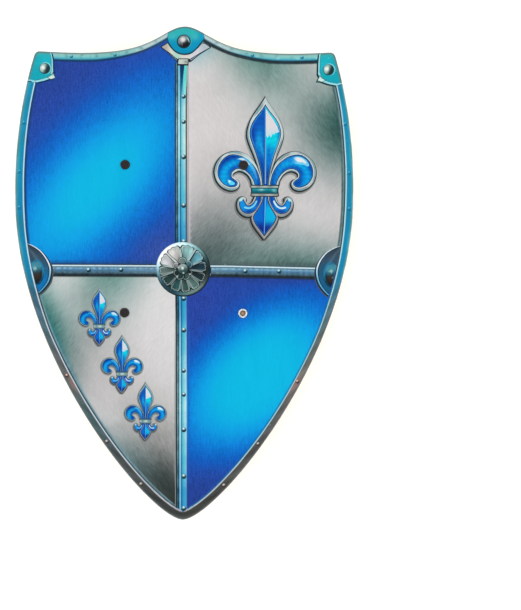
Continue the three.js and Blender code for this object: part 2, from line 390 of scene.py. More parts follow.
def ul_color(Q):
    c, P = blue_field(-74.8, 298, 86.8, 37.7, 0.807, 2.64, 67, 184)(Q)
    p, q = P[:, 0], P[:, 1]
    # violet cast and dust towards the rosette, deep corner top left
    c = mix(c, rgb(56, 82, 160), 0.75 * np.exp(-(((p + 14) / 26.0) ** 2 + ((q - 236) / 20.0) ** 2)))
    c = mix(c, rgb(30, 62, 140), 0.5 * np.exp(-(((p + 118) / 30.0) ** 2 + ((q - 400) / 22.0) ** 2)))
    c = mix(c, rgb(34, 70, 120), 0.6 * smooth(231.5, 227.5, q))
    c = mix(c, rgb(20, 100, 170), 0.4 * smooth(-8.5, -6, p))
    return c


def lr_color(Q):
    c, P = blue_field(68.5, 127.4, 70.4, 42.1, 0.72, 4.04, 70, 187)(Q)
    p, q = P[:, 0], P[:, 1]
    c = mix(c, rgb(42, 66, 158), 0.7 * np.exp(-(((p - 12) / 22.0) ** 2 + ((q - 200) / 26.0) ** 2)))
    c = mix(c, rgb(32, 60, 138), 0.7 * smooth(48, 18, q))
    c = mix(c, rgb(40, 62, 140), 0.5 * smooth(208, 213.5, q))
    return c


def clouds(base, blobs):
    def fn(Q):
        P = to_print(Q)
        out = np.zeros((len(P), 3)) + rgb(*base)
        for cx, cy, A, B, turn, r, g, b in blobs:
            x, y = P[:, 0] - cx, P[:, 1] - cy
            a = (x * cos(turn) + y * sin(turn)) / A
            k = (-x * sin(turn) + y * cos(turn)) / B
            out = out + np.exp(-0.5 * (a * a + k * k))[:, None] * rgb(r, g, b)
        return np.clip(out, 0.16, 0.93), P
    return fn


def ur_color(Q):
    c, P = clouds((213, 208, 208), [
        (5.6, 428.9, 13, 12, 0.69, -170, -52, -25),
        (148.4, 350.7, 26.5, 30.2, -0.23, -170, -124, -129),
        (124.2, 206.3, 62.9, 25.1, -0.25, -170, -119, -124),
        (-9.6, 195, 70.9, 26.3, 0.99, -121, -107, -107),
        (55.5, 450, 52.3, 22.8, -1.11, -170, -106, -118)])(Q)
    p, q = P[:, 0], P[:, 1]
    c = mix(c, rgb(70, 86, 86), 0.55 * smooth(231, 227, q))
    c = mix(c, rgb(214, 204, 214), 0.6 * smooth(8.2, 6.2, p) * (1 - smooth(0, 1, (250 - q) / 30)))
    return c


def ll_color(Q):
    c, P = clouds((220, 218, 218), [
        (-125, 175.5, 13.8, 35.2, 0.39, -169, -103, -108),
        (-50.5, 255, 20.8, 55.1, -0.4, -145, -90, -99),
        (9.6, -13.4, 24.4, 68.5, 0.39, -170, -164, -168),
        (-100.7, 68.9, 14.9, 52, 1.13, -170, -122, -116),
        (-89.5, 143, 32.8, 26, -1.6, -26, -30, -29)])(Q)
    d = edge_distance(Q)
    c = mix(c, rgb(40, 120, 150), 0.35 * smooth(12.5, 9.0, d) * smooth(100, 130, P[:, 1]) * smooth(190, 160, P[:, 1]))
    c = c * (1 - 0.14 * smooth(62, 30, P[:, 1]))[:, None]
    return c


# ------------------------------------------------------------------ bars

# bands of the upright bar from its left edge: place, colour where the bar is pale, colour where it is blue
V_BANDS = [(-6.2, rgb(36, 84, 112), rgb(24, 52, 100)), (-5.7, rgb(30, 66, 80), rgb(18, 44, 66)), (-5.0, rgb(44, 76, 84), rgb(22, 50, 66)), (-4.7, rgb(156, 186, 184), rgb(66, 108, 124)),
           (-4.1, rgb(150, 180, 178), rgb(58, 100, 118)), (-3.8, rgb(72, 112, 120), rgb(22, 70, 94)), (-3.1, rgb(78, 124, 132), rgb(26, 78, 104)), (-2.8, rgb(196, 244, 252), rgb(84, 166, 206)),
           (-1.6, rgb(188, 242, 252), rgb(70, 158, 204)), (-1.3, rgb(40, 124, 142), rgb(6, 86, 132)), (-0.6, rgb(52, 142, 158), rgb(8, 96, 142)), (-0.3, rgb(116, 200, 212), rgb(36, 138, 188)),
           (1.4, rgb(176, 232, 236), rgb(50, 156, 204)), (3.1, rgb(208, 236, 230), rgb(70, 158, 206)), (3.6, rgb(150, 182, 172), rgb(56, 126, 170)), (4.1, rgb(84, 88, 78), rgb(58, 90, 112)),
           (4.8, rgb(96, 94, 84), rgb(70, 92, 108)), (5.1, rgb(212, 204, 200), rgb(150, 150, 156)), (5.9, rgb(212, 206, 204), rgb(140, 142, 144))]
V_STOPS = [b[0] for b in V_BANDS]


def vbar_color(Q):
    P = to_print(Q)
    p, q = P[:, 0], P[:, 1]
    w = p - np.interp(q, [180, 260], [0.42, -0.42])
    pale = ramp(w, [(b[0], b[1]) for b in V_BANDS])
    blue = ramp(w, [(b[0], b[2]) for b in V_BANDS])
    t = np.interp(q, [4, 26, 44, 62, 97, 120, 150, 172, 186, 247, 262, 275, 301, 330, 350, 366, 386, 404],
                  [.02, .10, .35, .62, .88, .8, .62, .25, .05, .0, .12, .35, .5, .9, .95, .8, .5, .35])
    t = np.clip(t + 0.10 * np.sin(q / 3.1) * np.sin(q / 7.7 + 1), 0, 1)
    c = mix(blue, pale, t)
    # the bright line stays bright below the boss
    c = mix(c, rgb(150, 212, 242), 0.6 * (1 - t) * smooth(190, 170, q) * smooth(-3.0, -2.7, w) * smooth(-1.4, -1.7, w))
    facet = smooth(-0.5, 0.2, w) * (1 - smooth(3.0, 3.6, w))
    tq = np.exp(-((q - 395) / 12.0) ** 2) + np.exp(-((q - 292) / 16.0) ** 2) + 0.9 * np.exp(-((q - 160) / 14.0) ** 2) + 0.7 * np.exp(-((q - 60) / 20.0) ** 2) + 0.5 * np.exp(-((q - 112) / 10.0) ** 2)
    c = mix(c, rgb(56, 190, 206), 0.65 * np.clip(tq, 0, 1) * facet * smooth(3.6, 1.0, w))
    # hatching on the dark side where the bar is blue
    hatch = (0.5 + 0.5 * np.sin(q * 3.6 + np.sin(q * 0.7) * 2)) * (1 - 0.6 * t) * smooth(-5.4, -5.0, w) * (1 - smooth(-3.2, -2.6, w))
    c = mix(c, rgb(10, 34, 52), 0.55 * hatch)
    # against the lower silver quarter the outline is black and broken
    lower = smooth(206, 198, q)
    c = mix(c, rgb(16, 20, 22), 0.85 * lower * smooth(-6.0, -5.7, w) * smooth(-4.8, -5.1, w) * (0.7 + 0.3 * np.sin(q * 2.1)))
    c = mix(c, rgb(150, 158, 158), lower * smooth(-5.75, -6.0, w))
    # right-hand outline takes the colour of its quarter
    c = mix(c, lr_color(Q), smooth(3.5, 3.9, w) * (q < 200))
    return c


# bands of the cross bar from below: shadow, dark foot, body, dark seam, white line, dark line
H_BANDS = [(-5.9, rgb(96, 110, 110)), (-5.2, rgb(40, 50, 54)), (-4.6, rgb(30, 42, 48)), (-3.0, rgb(40, 58, 68)), (-2.5, rgb(66, 92, 104)), (-1.0, rgb(72, 112, 136)), (0.6, rgb(76, 124, 160)), (1.8, rgb(112, 158, 188)),
           (2.7, rgb(108, 150, 172)), (3.2, rgb(74, 108, 126)), (3.6, rgb(84, 118, 136)), (3.85, rgb(208, 232, 240)), (4.75, rgb(206, 230, 240)), (5.0, rgb(40, 58, 84)), (5.6, rgb(34, 54, 84)), (6.2, rgb(44, 70, 120))]
H_STOPS = [b[0] for b in H_BANDS]


def cross_line(p):
    """Middle line of the cross bar; it drops a little to the right."""
    return 221.0 - 0.02 * np.clip(p - 40.0, 0, None)


def hbar_color(right):
    def fn(Q):
        P = to_print(Q)
        p, q = P[:, 0], P[:, 1]
        k = q - cross_line(p)
        c = ramp(k, H_BANDS)
        body = smooth(-3.0, -2.4, k) * (1 - smooth(2.9, 3.3, k))
        c = mix(c, rgb(120, 146, 160), 0.35 * np.exp(-((np.abs(p) - 33) / 16.0) ** 2) * body)
        c = mix(c, rgb(134, 180, 206), 0.8 * np.exp(-((k - 1.8) / 0.5) ** 2) * smooth(64, 48, np.abs(p)) * (p > 0))
        w = np.sin(p * 2.3 + np.sin(p * 0.37) * 3) * np.sin(p * 0.53 + 1) + 0.6 * np.sin(p * 5.1)
        c = c * (1 + 0.13 * w * body)[:, None]
        c = mix(c, rgb(190, 220, 230), 0.55 * body * smooth(0.55, 0.95, np.sin(p * 0.9 + 1.2) * np.sin(p * 0.23 + 2)) * np.exp(-((k - 1.6) / 0.7) ** 2))
        c = mix(c, rgb(16, 28, 38), 0.5 * smooth(0.3, 0.9, np.sin(p * 2.7 + np.sin(p * 0.9))) * smooth(-5.4, -5.0, k) * smooth(-2.2, -2.8, k))
        # below, the shadow line takes a little of its quarter
        if right:
            c = mix(c, lr_color(Q) * 0.85, smooth(-5.0, -5.6, k))
            c = mix(c, ur_color(Q), smooth(5.0, 5.3, k))
        else:
            c = mix(c, ll_color(Q), smooth(-5.7, -6.2, k))
        return c
    return fn


# ------------------------------------------------------------------ studs and small parts

def dome(c, r, light=(-0.35, 0.75), dark=rgb(22, 34, 40), mid=rgb(104, 138, 134), bright=rgb(226, 228, 228), base=None):
    """Colour of a painted round stud: bright cap towards the light, dark foot."""
    c = np.asarray(c, float)
    L = np.array(light, float)
    L = L / np.hypot(*L)

    def fn(Q):
        P = to_print(Q) - c
        x, y = P[:, 0] / r, P[:, 1] / r
        rr = np.clip(np.hypot(x, y), 0, 1)
        k = x * L[0] + y * L[1]
        cap = np.hypot(x - L[0] * 0.38, y - L[1] * 0.38)
        col = mix(mid, dark, smooth(0.25, -0.55, k))
        col = mix(col, bright, smooth(0.62, 0.22, cap))
        col = mix(col, dark, 0.7 * smooth(0.8, 1.0, rr) * smooth(0.5, -0.2, k))
        return col
    return fn


def rings(c, r, fractions=(0.3, 0.55, 0.78, 0.92), n=20):
    return np.vstack([circle(c, r * f, n) for f in fractions] + [np.array([c])])


def stud(p, q, r, name="stud", ring=None, shadow=rgb(18, 44, 60), n=20, **kw):
    c = (p, q)
    if ring is not None:
        Layer(name + "_ring", to_board(circle((p - 0.18 * r, q - 0.06 * r), r * 1.32, n)), flat(ring))
    Layer(name + "_shadow", to_board(circle((p + 0.04 * r, q - 0.14 * r), r * 1.12, n)), flat(shadow))
    Layer(name, to_board(circle(c, r, n)), dome(c, r, **kw), extra=to_board(rings(c, r, n=n)))


def print_layer(name, poly, fn, **kw):
    if "extra" in kw and kw["extra"] is not None:
        kw["extra"] = to_board(kw["extra"])
    if "lines" in kw:
        kw["lines"] = [to_board(l) for l in kw["lines"]]
    return Layer(name, to_board(poly), (lambda Q: fn(to_print(Q))) if callable(fn) else flat(fn), **kw)


# ------------------------------------------------------------------ lily

PETAL = np.vstack([bezier((0, 83.6), (3.2, 76), (16.3, 64), (16.4, 50), 14)[:-1], bezier((16.4, 50), (16.5, 40), (5.2, 27), (3.6, 4), 14)])
PETAL_FILL = np.vstack([bezier((0, 75.0), (2.4, 69), (12.9, 62), (13.0, 51), 14)[:-1], bezier((13.0, 51), (13.0, 42.5), (3.0, 29), (1.6, 5), 14)])
LEAF = spline([(3.2, 4.5), (4.8, 14), (8.6, 24), (15.5, 31.6), (25.5, 35.2), (35.5, 32.8), (42.6, 26.2), (45.4, 17.5), (43.4, 8.6), (38, 2.4), (30.8, -0.3), (25, 1.4), (22.6, 5.9), (24.6, 9.6),
               (28.7, 11.0), (28.3, 15.0), (22.9, 17.2), (16.8, 14.6), (13.2, 9.6), (11.3, 4.5)], 4)
LEAF_FILL = spline([(5.2, 5), (6.3, 12), (9.2, 18.8), (13.9, 24.6), (21.8, 29.8), (30.5, 31), (37.0, 27.2), (40.8, 20.5), (41.2, 13.4), (37.6, 7.2), (31.8, 4.1), (27.2, 4.4), (25.6, 6.6), (27.4, 8.6),
                    (30.8, 11.4), (30.4, 16.6), (25.2, 20.2), (18.6, 19.2), (12.9, 14.4), (9.8, 9.2), (8.3, 5)], 4)
CURL = spline([(2.6, -4.5), (3.6, -12), (7.6, -19.5), (13, -23.4), (19.2, -22.4), (24.0, -17.6), (25.3, -11.4), (23.5, -6.6), (19.7, -5.0), (16.6, -7.0), (17.2, -10.0), (15.4, -12.0), (11.8, -10.2), (9.0, -4.5)], 4)
CURL_FILL = spline([(4.4, -6), (5.4, -11.5), (9.2, -17), (13.8, -19.6), (18.6, -18.6), (21.6, -14.6), (22.0, -10.6), (20.4, -8.2), (18.8, -10.8), (16.2, -14.0), (12.4, -13.6), (8.8, -10.0), (6.8, -5.6)], 4)
SPEAR = np.vstack([bezier((2.4, -4.6), (3.0, -14), (9.8, -17.5), (12.3, -24.2), 12)[:-1], bezier((12.3, -24.2), (11.6, -32), (4.5, -37.5), (-0.3, -44.6), 12)])
SPEAR_FILL = np.vstack([bezier((1.1, -5), (1.6, -13), (6.8, -17.5), (9.5, -23.4), 10)[:-1], bezier((9.5, -23.4), (9.0, -29), (3.6, -33.5), (0, -39), 10)])


def both(half):
    return np.vstack([half, (half * [-1, 1])[::-1]])


def lily(cx, cy, k, small=False):
    """A heraldic lily: top petal, two leaves, two curls, a spear and a collar, all with a
    bevelled silver edge. (cx, cy) is the middle of the collar, k the size."""
    nm = "lily_s" if small else "lily"
    n_fine = 1.0 / k

    def T(P, dx=0.0, dy=0.0):
        P = np.asarray(P, float)
        return np.stack([cx + k * (P[:, 0] + dx), cy + k * (P[:, 1] + dy)], -1)

    def local(fn):
        return lambda P: fn((P - [cx, cy]) / k)

    def put(name, P, fn, **kw):
        P = lean(P)
        if kw.get("extra") is not None:
            kw["extra"] = T(kw["extra"])
        P = resample(P, 1.1 / min(1, k * 1.6)) if len(P) > 12 else P
        print_layer(nm + "_" + name, T(P), local(fn) if callable(fn) else fn, **kw)

    silver_hi, silver_mid, silver_lo = (rgb(150, 176, 182), rgb(104, 132, 142), rgb(84, 88, 96)) if small else (rgb(196, 212, 212), rgb(146, 164, 168), rgb(118, 110, 110))
    blue_dk, blue, blue_lt, cyan = rgb(10, 54, 148), rgb(8, 92, 190), rgb(10, 128, 214), rgb(0, 176, 222)
    ink = rgb(22, 34, 50)
    soft = rgb(34, 52, 60) if small else rgb(38, 46, 46)

    def silver(P):
        # the bevel catches light in short stretches, darker low and on the left flanks
        t = 0.5 + 0.5 * np.sin(P[:, 0] * 0.30 + P[:, 1] * 0.16 + 1.2)
        c = mix(silver_mid, silver_hi, smooth(0.35, 0.95, t))
        c = mix(c, rgb(120, 172, 176), 0.45 * smooth(0.4, 0.0, t))
        return mix(c, silver_lo, 0.55 * smooth(8, -34, P[:, 1]) + 0.15 * smooth(-8, 12, P[:, 0]))

    def lean(P):
        # the spear leans a touch to the left
        P = np.asarray(P, float)
        return np.stack([P[..., 0] + 0.032 * np.minimum(P[..., 1] + 5, 0), P[..., 1]], -1)

    parts = [("leaf_l", LEAF * [-1, 1]), ("leaf_r", LEAF), ("curl_l", CURL * [-1, 1]), ("curl_r", CURL), ("petal", both(PETAL)), ("spear", both(SPEAR))]
    g = 1.5 if small else 0.9
    # soft cast shadow, then a thin dark outline
    for name, P in parts:
        put(name + "_cast2", grow(P, g * 1.5) + [-0.9, -1.4], lambda q: mix(rgb(150, 155, 156), rgb(118, 120, 120), smooth(40, -40, q[:, 1])))
    for name, P in parts:
        put(name + "_cast", grow(P, (0.35 if small else 0.62)) + [-0.45, -0.55], soft)
    for name, P in parts[:4]:
        put(name, grow(P, -0.4 if not small else -0.5), silver)
        F = {"leaf": LEAF_FILL, "curl": CURL_FILL}[name[:4]]
        side = -1 if name.endswith("_l") else 1
        F = F * [side, 1]
        if small:
            F = grow(F, 0.6)
        put(name + "_sheen", grow(F, 1.85 if not small else 2.2), lambda q: mix(rgb(150, 184, 194), rgb(120, 130, 142), smooth(4, -30, q[:, 1])) if small else mix(rgb(204, 218, 220), rgb(156, 148, 150), smooth(4, -30, q[:, 1])))
        put(name + "_line", grow(F, 1.1 if not small else 1.5), ink)
        put(name + "_bead", grow(F, 0.42), lambda q, side=side: mix(rgb(30, 120, 196), rgb(140, 214, 236), smooth(-2, 6, q[:, 0] * -0.3 * side + q[:, 1] * 0.5 - 2 - 6 * (name[:4] == "curl"))))
        if name.startswith("leaf"):
            def leaf_fn(q, side=side):
                x, y = q[:, 0] * side, q[:, 1]
                r = np.hypot(x - 24, y - 11)
                # deep blue round the edge of the fill, bright belly along its middle line
                # rolled leaf: dark along the outer edge and in the throat, a bright belly between
                out = smooth(15.5, 20.0, r)
                throat = smooth(11.5, 7.0, r)
                c = mix(rgb(0, 108, 206), rgb(8, 48, 146), np.clip(out + 0.7 * throat, 0, 1))
                c = mix(c, rgb(0, 156, 228), 0.9 * np.exp(-((r - 13.6) / 2.2) ** 2) * smooth(8, 20, x))
                c = mix(c, rgb(10, 60, 166), 0.7 * np.exp(-((r - 10.2) / 1.3) ** 2) * smooth(10, 16, x) * smooth(6, 16, y))
                c = mix(c, rgb(6, 50, 150), 0.8 * smooth(13, 7, x) * smooth(10, 20, y + x * 0.2))
                c = mix(c, rgb(10, 128, 214), 0.7 * np.exp(-(((x - 10.5) / 1.6) ** 2 + ((y - 14) / 7.0) ** 2)))
                if side < 0:
                    c = mix(c, rgb(0, 150, 230), 0.8 * np.exp(-(((x - 35) / 3.4) ** 2 + ((y - 13) / 7.0) ** 2)))
                    c = mix(c, rgb(10, 62, 168), 0.6 * np.exp(-(((x - 20) / 5) ** 2 + ((y - 24) / 3.0) ** 2)))
                else:
                    c = mix(c, rgb(0, 140, 226), 0.8 * np.exp(-(((x - 35.5) / 3.0) ** 2 + ((y - 11) / 7.0) ** 2)))
                    c = mix(c, rgb(0, 146, 226), 0.7 * np.exp(-(((x - 19.5) / 5.0) ** 2 + ((y - 24.5) / 2.2) ** 2)))
                c = c * [0.6, 1.10, 1.0]
                # fine brushed rays
                return c * (1 + 0.06 * np.sin(np.arctan2(y - 11, x - 24) * 21 + r * 0.4))[:, None]
            put(name + "_fill", F, leaf_fn, step=2.2 * k, extra=None)
        else:
            def curl_fn(q, side=side):
                x, y = q[:, 0] * side, q[:, 1]
                c = mix(blue_lt, blue_dk, smooth(-15, -19.5, y))
                c = mix(c, rgb(8, 50, 150), 0.8 * smooth(10, 5, x))
                return mix(c, rgb(10, 150, 226), smooth(15, 20, x) * 0.7)
            put(name + "_fill", F, curl_fn, step=1.8 * k)
    # gloss on the leaves and curls
    white, pale = rgb(236, 236, 238), rgb(120, 214, 244)
    put("gloss_r_soft", spline([(18.5, 27.2), (24, 30.0), (31.0, 30.3), (36.4, 27.2), (39.0, 22.6), (37.4, 21.6), (34.0, 23.0), (29.2, 23.6), (23.6, 24.8)], 4), lambda q: mix(rgb(110, 206, 238), rgb(14, 134, 218), smooth(29, 22, q[:, 0])))
    put("gloss_r", spline([(25.6, 29.4), (29.8, 29.5), (34.0, 27.6), (36.4, 24.6), (35.2, 24.2), (32.6, 25.6), (30.0, 25.4), (26.6, 27.2)], 4), lambda q: mix(rgb(232, 230, 234), rgb(170, 216, 234), smooth(29, 25, q[:, 0])))
    put("gloss_l_soft", spline([(-25.5, 27.9), (-19, 29.4), (-13.5, 25.8), (-9, 18.4), (-7.0, 10), (-8.0, 10), (-11.0, 17.0), (-15.3, 23.2), (-20, 26.6)], 3), lambda q: mix(rgb(70, 180, 228), rgb(60, 140, 210), smooth(22, 12, q[:, 1])))
    if not small:
        put("gloss_l", spline([(-24.0, 28.2), (-20.2, 28.6), (-16.6, 26.4), (-13.4, 22.8), (-14.0, 22.6), (-17.0, 25.2), (-20.4, 26.9)], 3), rgb(214, 228, 236))
        put("gloss_knob", spline([(-33.5, 9.6), (-30.2, 8.8), (-26.8, 6.2), (-28.8, 4.9), (-32.2, 5.6)], 3), rgb(90, 214, 244))
        put("gloss_knob2", circle((-31.8, 8.0), 0.9, 10), white)
    for s in (-1, 1):
        put("gloss_curl%d" % s, spline([(s * 6.9, -9.2), (s * 9.6, -13.9), (s * 14.2, -16.4), (s * 18.8, -15.4), (s * 18.2, -14.1), (s * 14.0, -14.9), (s * 10.4, -12.7), (s * 8.2, -8.8)], 3), rgb(206, 232, 244) if s > 0 else rgb(120, 206, 240))
        put("gloss_knobs%d" % s, circle((s * 21.6, -8.2), 1.9, 12, 1.2, s * -0.6), rgb(176, 224, 232))
    # top petal and spear: two facets each, split by a ridge
    put("petal", grow(both(PETAL), -0.35 if not small else -0.5), silver)
    put("petal_sheen", grow(both(PETAL_FILL), 1.85 if not small else 2.2), lambda q: mix(rgb(170, 198, 206), rgb(120, 146, 158), smooth(50, 12, q[:, 1])) if small else mix(rgb(214, 226, 228), rgb(150, 164, 170), smooth(50, 12, q[:, 1])))
    put("petal_line", grow(both(PETAL_FILL), 1.1 if not small else 1.5), ink)
    put("petal_bead", grow(both(PETAL_FILL), 0.4), lambda q: mix(rgb(36, 120, 190), rgb(150, 216, 236), 0.75 * smooth(-6, 8, q[:, 0]) * smooth(10, 40, q[:, 1])))
    put("spear", grow(both(SPEAR), -0.35 if not small else -0.5), silver)
    put("spear_sheen", grow(both(SPEAR_FILL), 1.8 if not small else 2.1), rgb(178, 170, 172))
    put("spear_line", grow(both(SPEAR_FILL), 1.1 if not small else 1.5), ink)
    put("spear_bead", grow(both(SPEAR_FILL), 0.4), rgb(36, 120, 196))

    def petal_left(q):
        x, y = q[:, 0], q[:, 1]
        c = mix(rgb(4, 74, 178), rgb(0, 132, 216), np.exp(-(((x + 5.0) / 3.4) ** 2 + ((y - 43) / 11.0) ** 2)))
        c = mix(c, rgb(70, 176, 234), 0.75 * np.exp(-(((x + 3.6 + (y - 40) * 0.22) / 0.9) ** 2 + ((y - 36) / 8.0) ** 2)))
        c = mix(c, rgb(60, 166, 230), 0.6 * np.exp(-(((x + 7.0 - (y - 44) * 0.16) / 0.8) ** 2 + ((y - 44) / 7.0) ** 2)))
        c = mix(c, rgb(6, 46, 146), 0.75 * smooth(-8.6, -11.6, x))
        c = c * (1 + 0.07 * np.sin(x * 3.1 + y * 0.55))[:, None]
        return mix(c, rgb(10, 52, 142), smooth(30, 10, y)) * [0.6, 1.10, 1.0]

    def petal_right(q):
        x, y = q[:, 0], q[:, 1]
        c = mix(rgb(0, 150, 218), rgb(0, 194, 228), smooth(36, 44, y))
        c = mix(c, rgb(0, 112, 210), smooth(40, 28, y + x * 0.3))
        c = mix(c, rgb(10, 84, 190), 0.7 * np.exp(-(((x - 3.0) / 1.0) ** 2 + ((y - 34) / 6.0) ** 2)))
        c = mix(c, rgb(10, 90, 184), 0.8 * smooth(11.0, 12.6, x) * smooth(66, 58, y))
        c = mix(c, rgb(16, 54, 152), smooth(26, 12, y))
        c = mix(c, rgb(24, 110, 190), 0.6 * smooth(9.0, 12.6, x))
        return c * [0.6, 1.06, 1.0] * (1 + 0.06 * np.sin(x * 2.7 - y * 0.5))[:, None]

    lf = np.vstack([PETAL_FILL * [-1, 1], [(0, 5)]])
    rf = np.vstack([PETAL_FILL, [(0, 5)]])
    put("petal_l", lf, petal_left, step=2.0 * k)
    put("petal_r", rf, petal_right, step=2.0 * k)
    put("petal_white", np.array([(0.5, 72.4), (2.2, 69.8), (6.6, 63.6), (10.4, 57.2), (11.6, 53.6), (12.4, 52.6), (11.0, 51.4), (8.8, 51.6), (7.6, 49.6), (6.4, 50.8), (5.0, 47.2), (3.4, 49.8), (2.0, 46.8), (0.5, 49.2)]),
        lambda q: mix(rgb(222, 218, 220), rgb(196, 220, 228), smooth(58, 50, q[:, 1])))
    put("ridge", np.array([(-0.35, 74.5), (0.3, 74.5), (0.55, 6), (-0.55, 6)]), lambda q: mix(rgb(86, 150, 210), rgb(120, 168, 206), smooth(60, 10, q[:, 1])))
    put("petal_edge_l", np.vstack([PETAL_FILL[4:20] * [-1, 1] + [0.0, 0], (PETAL_FILL[4:20] * [-1, 1] + [0.9, 0])[::-1]]), rgb(40, 120, 200))

    def spear_fn(side):
        def fn(q):
            x, y = q[:, 0], q[:, 1]
            if side < 0:
                c = mix(rgb(0, 104, 204), rgb(16, 36, 128), smooth(-25, -34, y))
                c = mix(c, rgb(0, 70, 176), 0.7 * smooth(-3, 0, x))
                return mix(c, rgb(14, 46, 142), smooth(-14, -6, y))
            c = mix(rgb(0, 176, 226), rgb(0, 110, 206), smooth(-17, -8, y))
            return mix(c, rgb(20, 40, 136), smooth(-25, -34, y))
        return fn
    put("spear_l", np.vstack([SPEAR_FILL * [-1, 1], [(0, -5)]]), spear_fn(-1), step=1.8 * k)
    put("spear_r", np.vstack([SPEAR_FILL, [(0, -5)]]), spear_fn(1), step=1.8 * k)
    put("spear_ridge", np.array([(-0.4, -6), (0.4, -6), (0.25, -38), (-0.25, -38)]), rgb(96, 190, 240))
    # collar
    w = 11.9
    cx0 = -0.6
    put("collar_ink", spline([(cx0 - w - 0.9, -4.6), (cx0 - w + 0.4, -5.6), (cx0, -5.3), (cx0 + w - 0.4, -5.6), (cx0 + w + 0.9, -4.6), (cx0 + w + 0.2, 0), (cx0 + w + 0.9, 4.2), (cx0 + w - 0.4, 5.2), (cx0, 4.9), (cx0 - w + 0.4, 5.2), (cx0 - w - 0.9, 4.2), (cx0 - w - 0.2, 0)], 2), rgb(28, 40, 42))

    def bar(name, y0, y1, fn, inset=0.0):
        put(name, np.array([(cx0 - w + inset, y0), (cx0 + w - inset, y0), (cx0 + w - inset, y1), (cx0 - w + inset, y1)]), fn, step=2.4 * k)
    if small:
        bar("collar_s", -4.6, 4.2, lambda q: mix(rgb(104, 140, 146), rgb(206, 226, 224), np.exp(-((q[:, 1] + 0.4) / 2.2) ** 2) * (0.55 + 0.45 * np.sin(q[:, 0] * 0.45 + 1.4))), inset=0.4)
        bar("collar_s_line", 2.6, 3.6, rgb(40, 84, 94), inset=0.4)
        return
    bar("collar_low", -4.7, -2.7, lambda q: mix(rgb(128, 134, 132), rgb(190, 198, 196), np.exp(-((q[:, 1] + 3.8) / 0.7) ** 2) * (0.6 + 0.4 * np.sin(q[:, 0] * 0.5))))
    bar("collar_top", 2.4, 4.3, lambda q: mix(rgb(120, 134, 134), rgb(196, 212, 208), np.exp(-((q[:, 1] - 3.5) / 0.7) ** 2) * (0.6 + 0.4 * np.sin(q[:, 0] * 0.6 + 2))))
    bar("collar_mid", -2.2, 1.9, lambda q: mix(mix(rgb(6, 92, 108), rgb(24, 150, 164), np.exp(-((q[:, 1] - 0.9) / 1.1) ** 2)), rgb(186, 232, 232),
                                              np.exp(-((q[:, 0] + 3.4) / 2.6) ** 2) * np.exp(-((q[:, 1] - 0.8) / 0.8) ** 2) + 0.7 * np.exp(-((q[:, 0] - 8.0) / 1.8) ** 2) * np.exp(-((q[:, 1] - 0.2) / 1.4) ** 2)), inset=0.8)


# ------------------------------------------------------------------ rosette

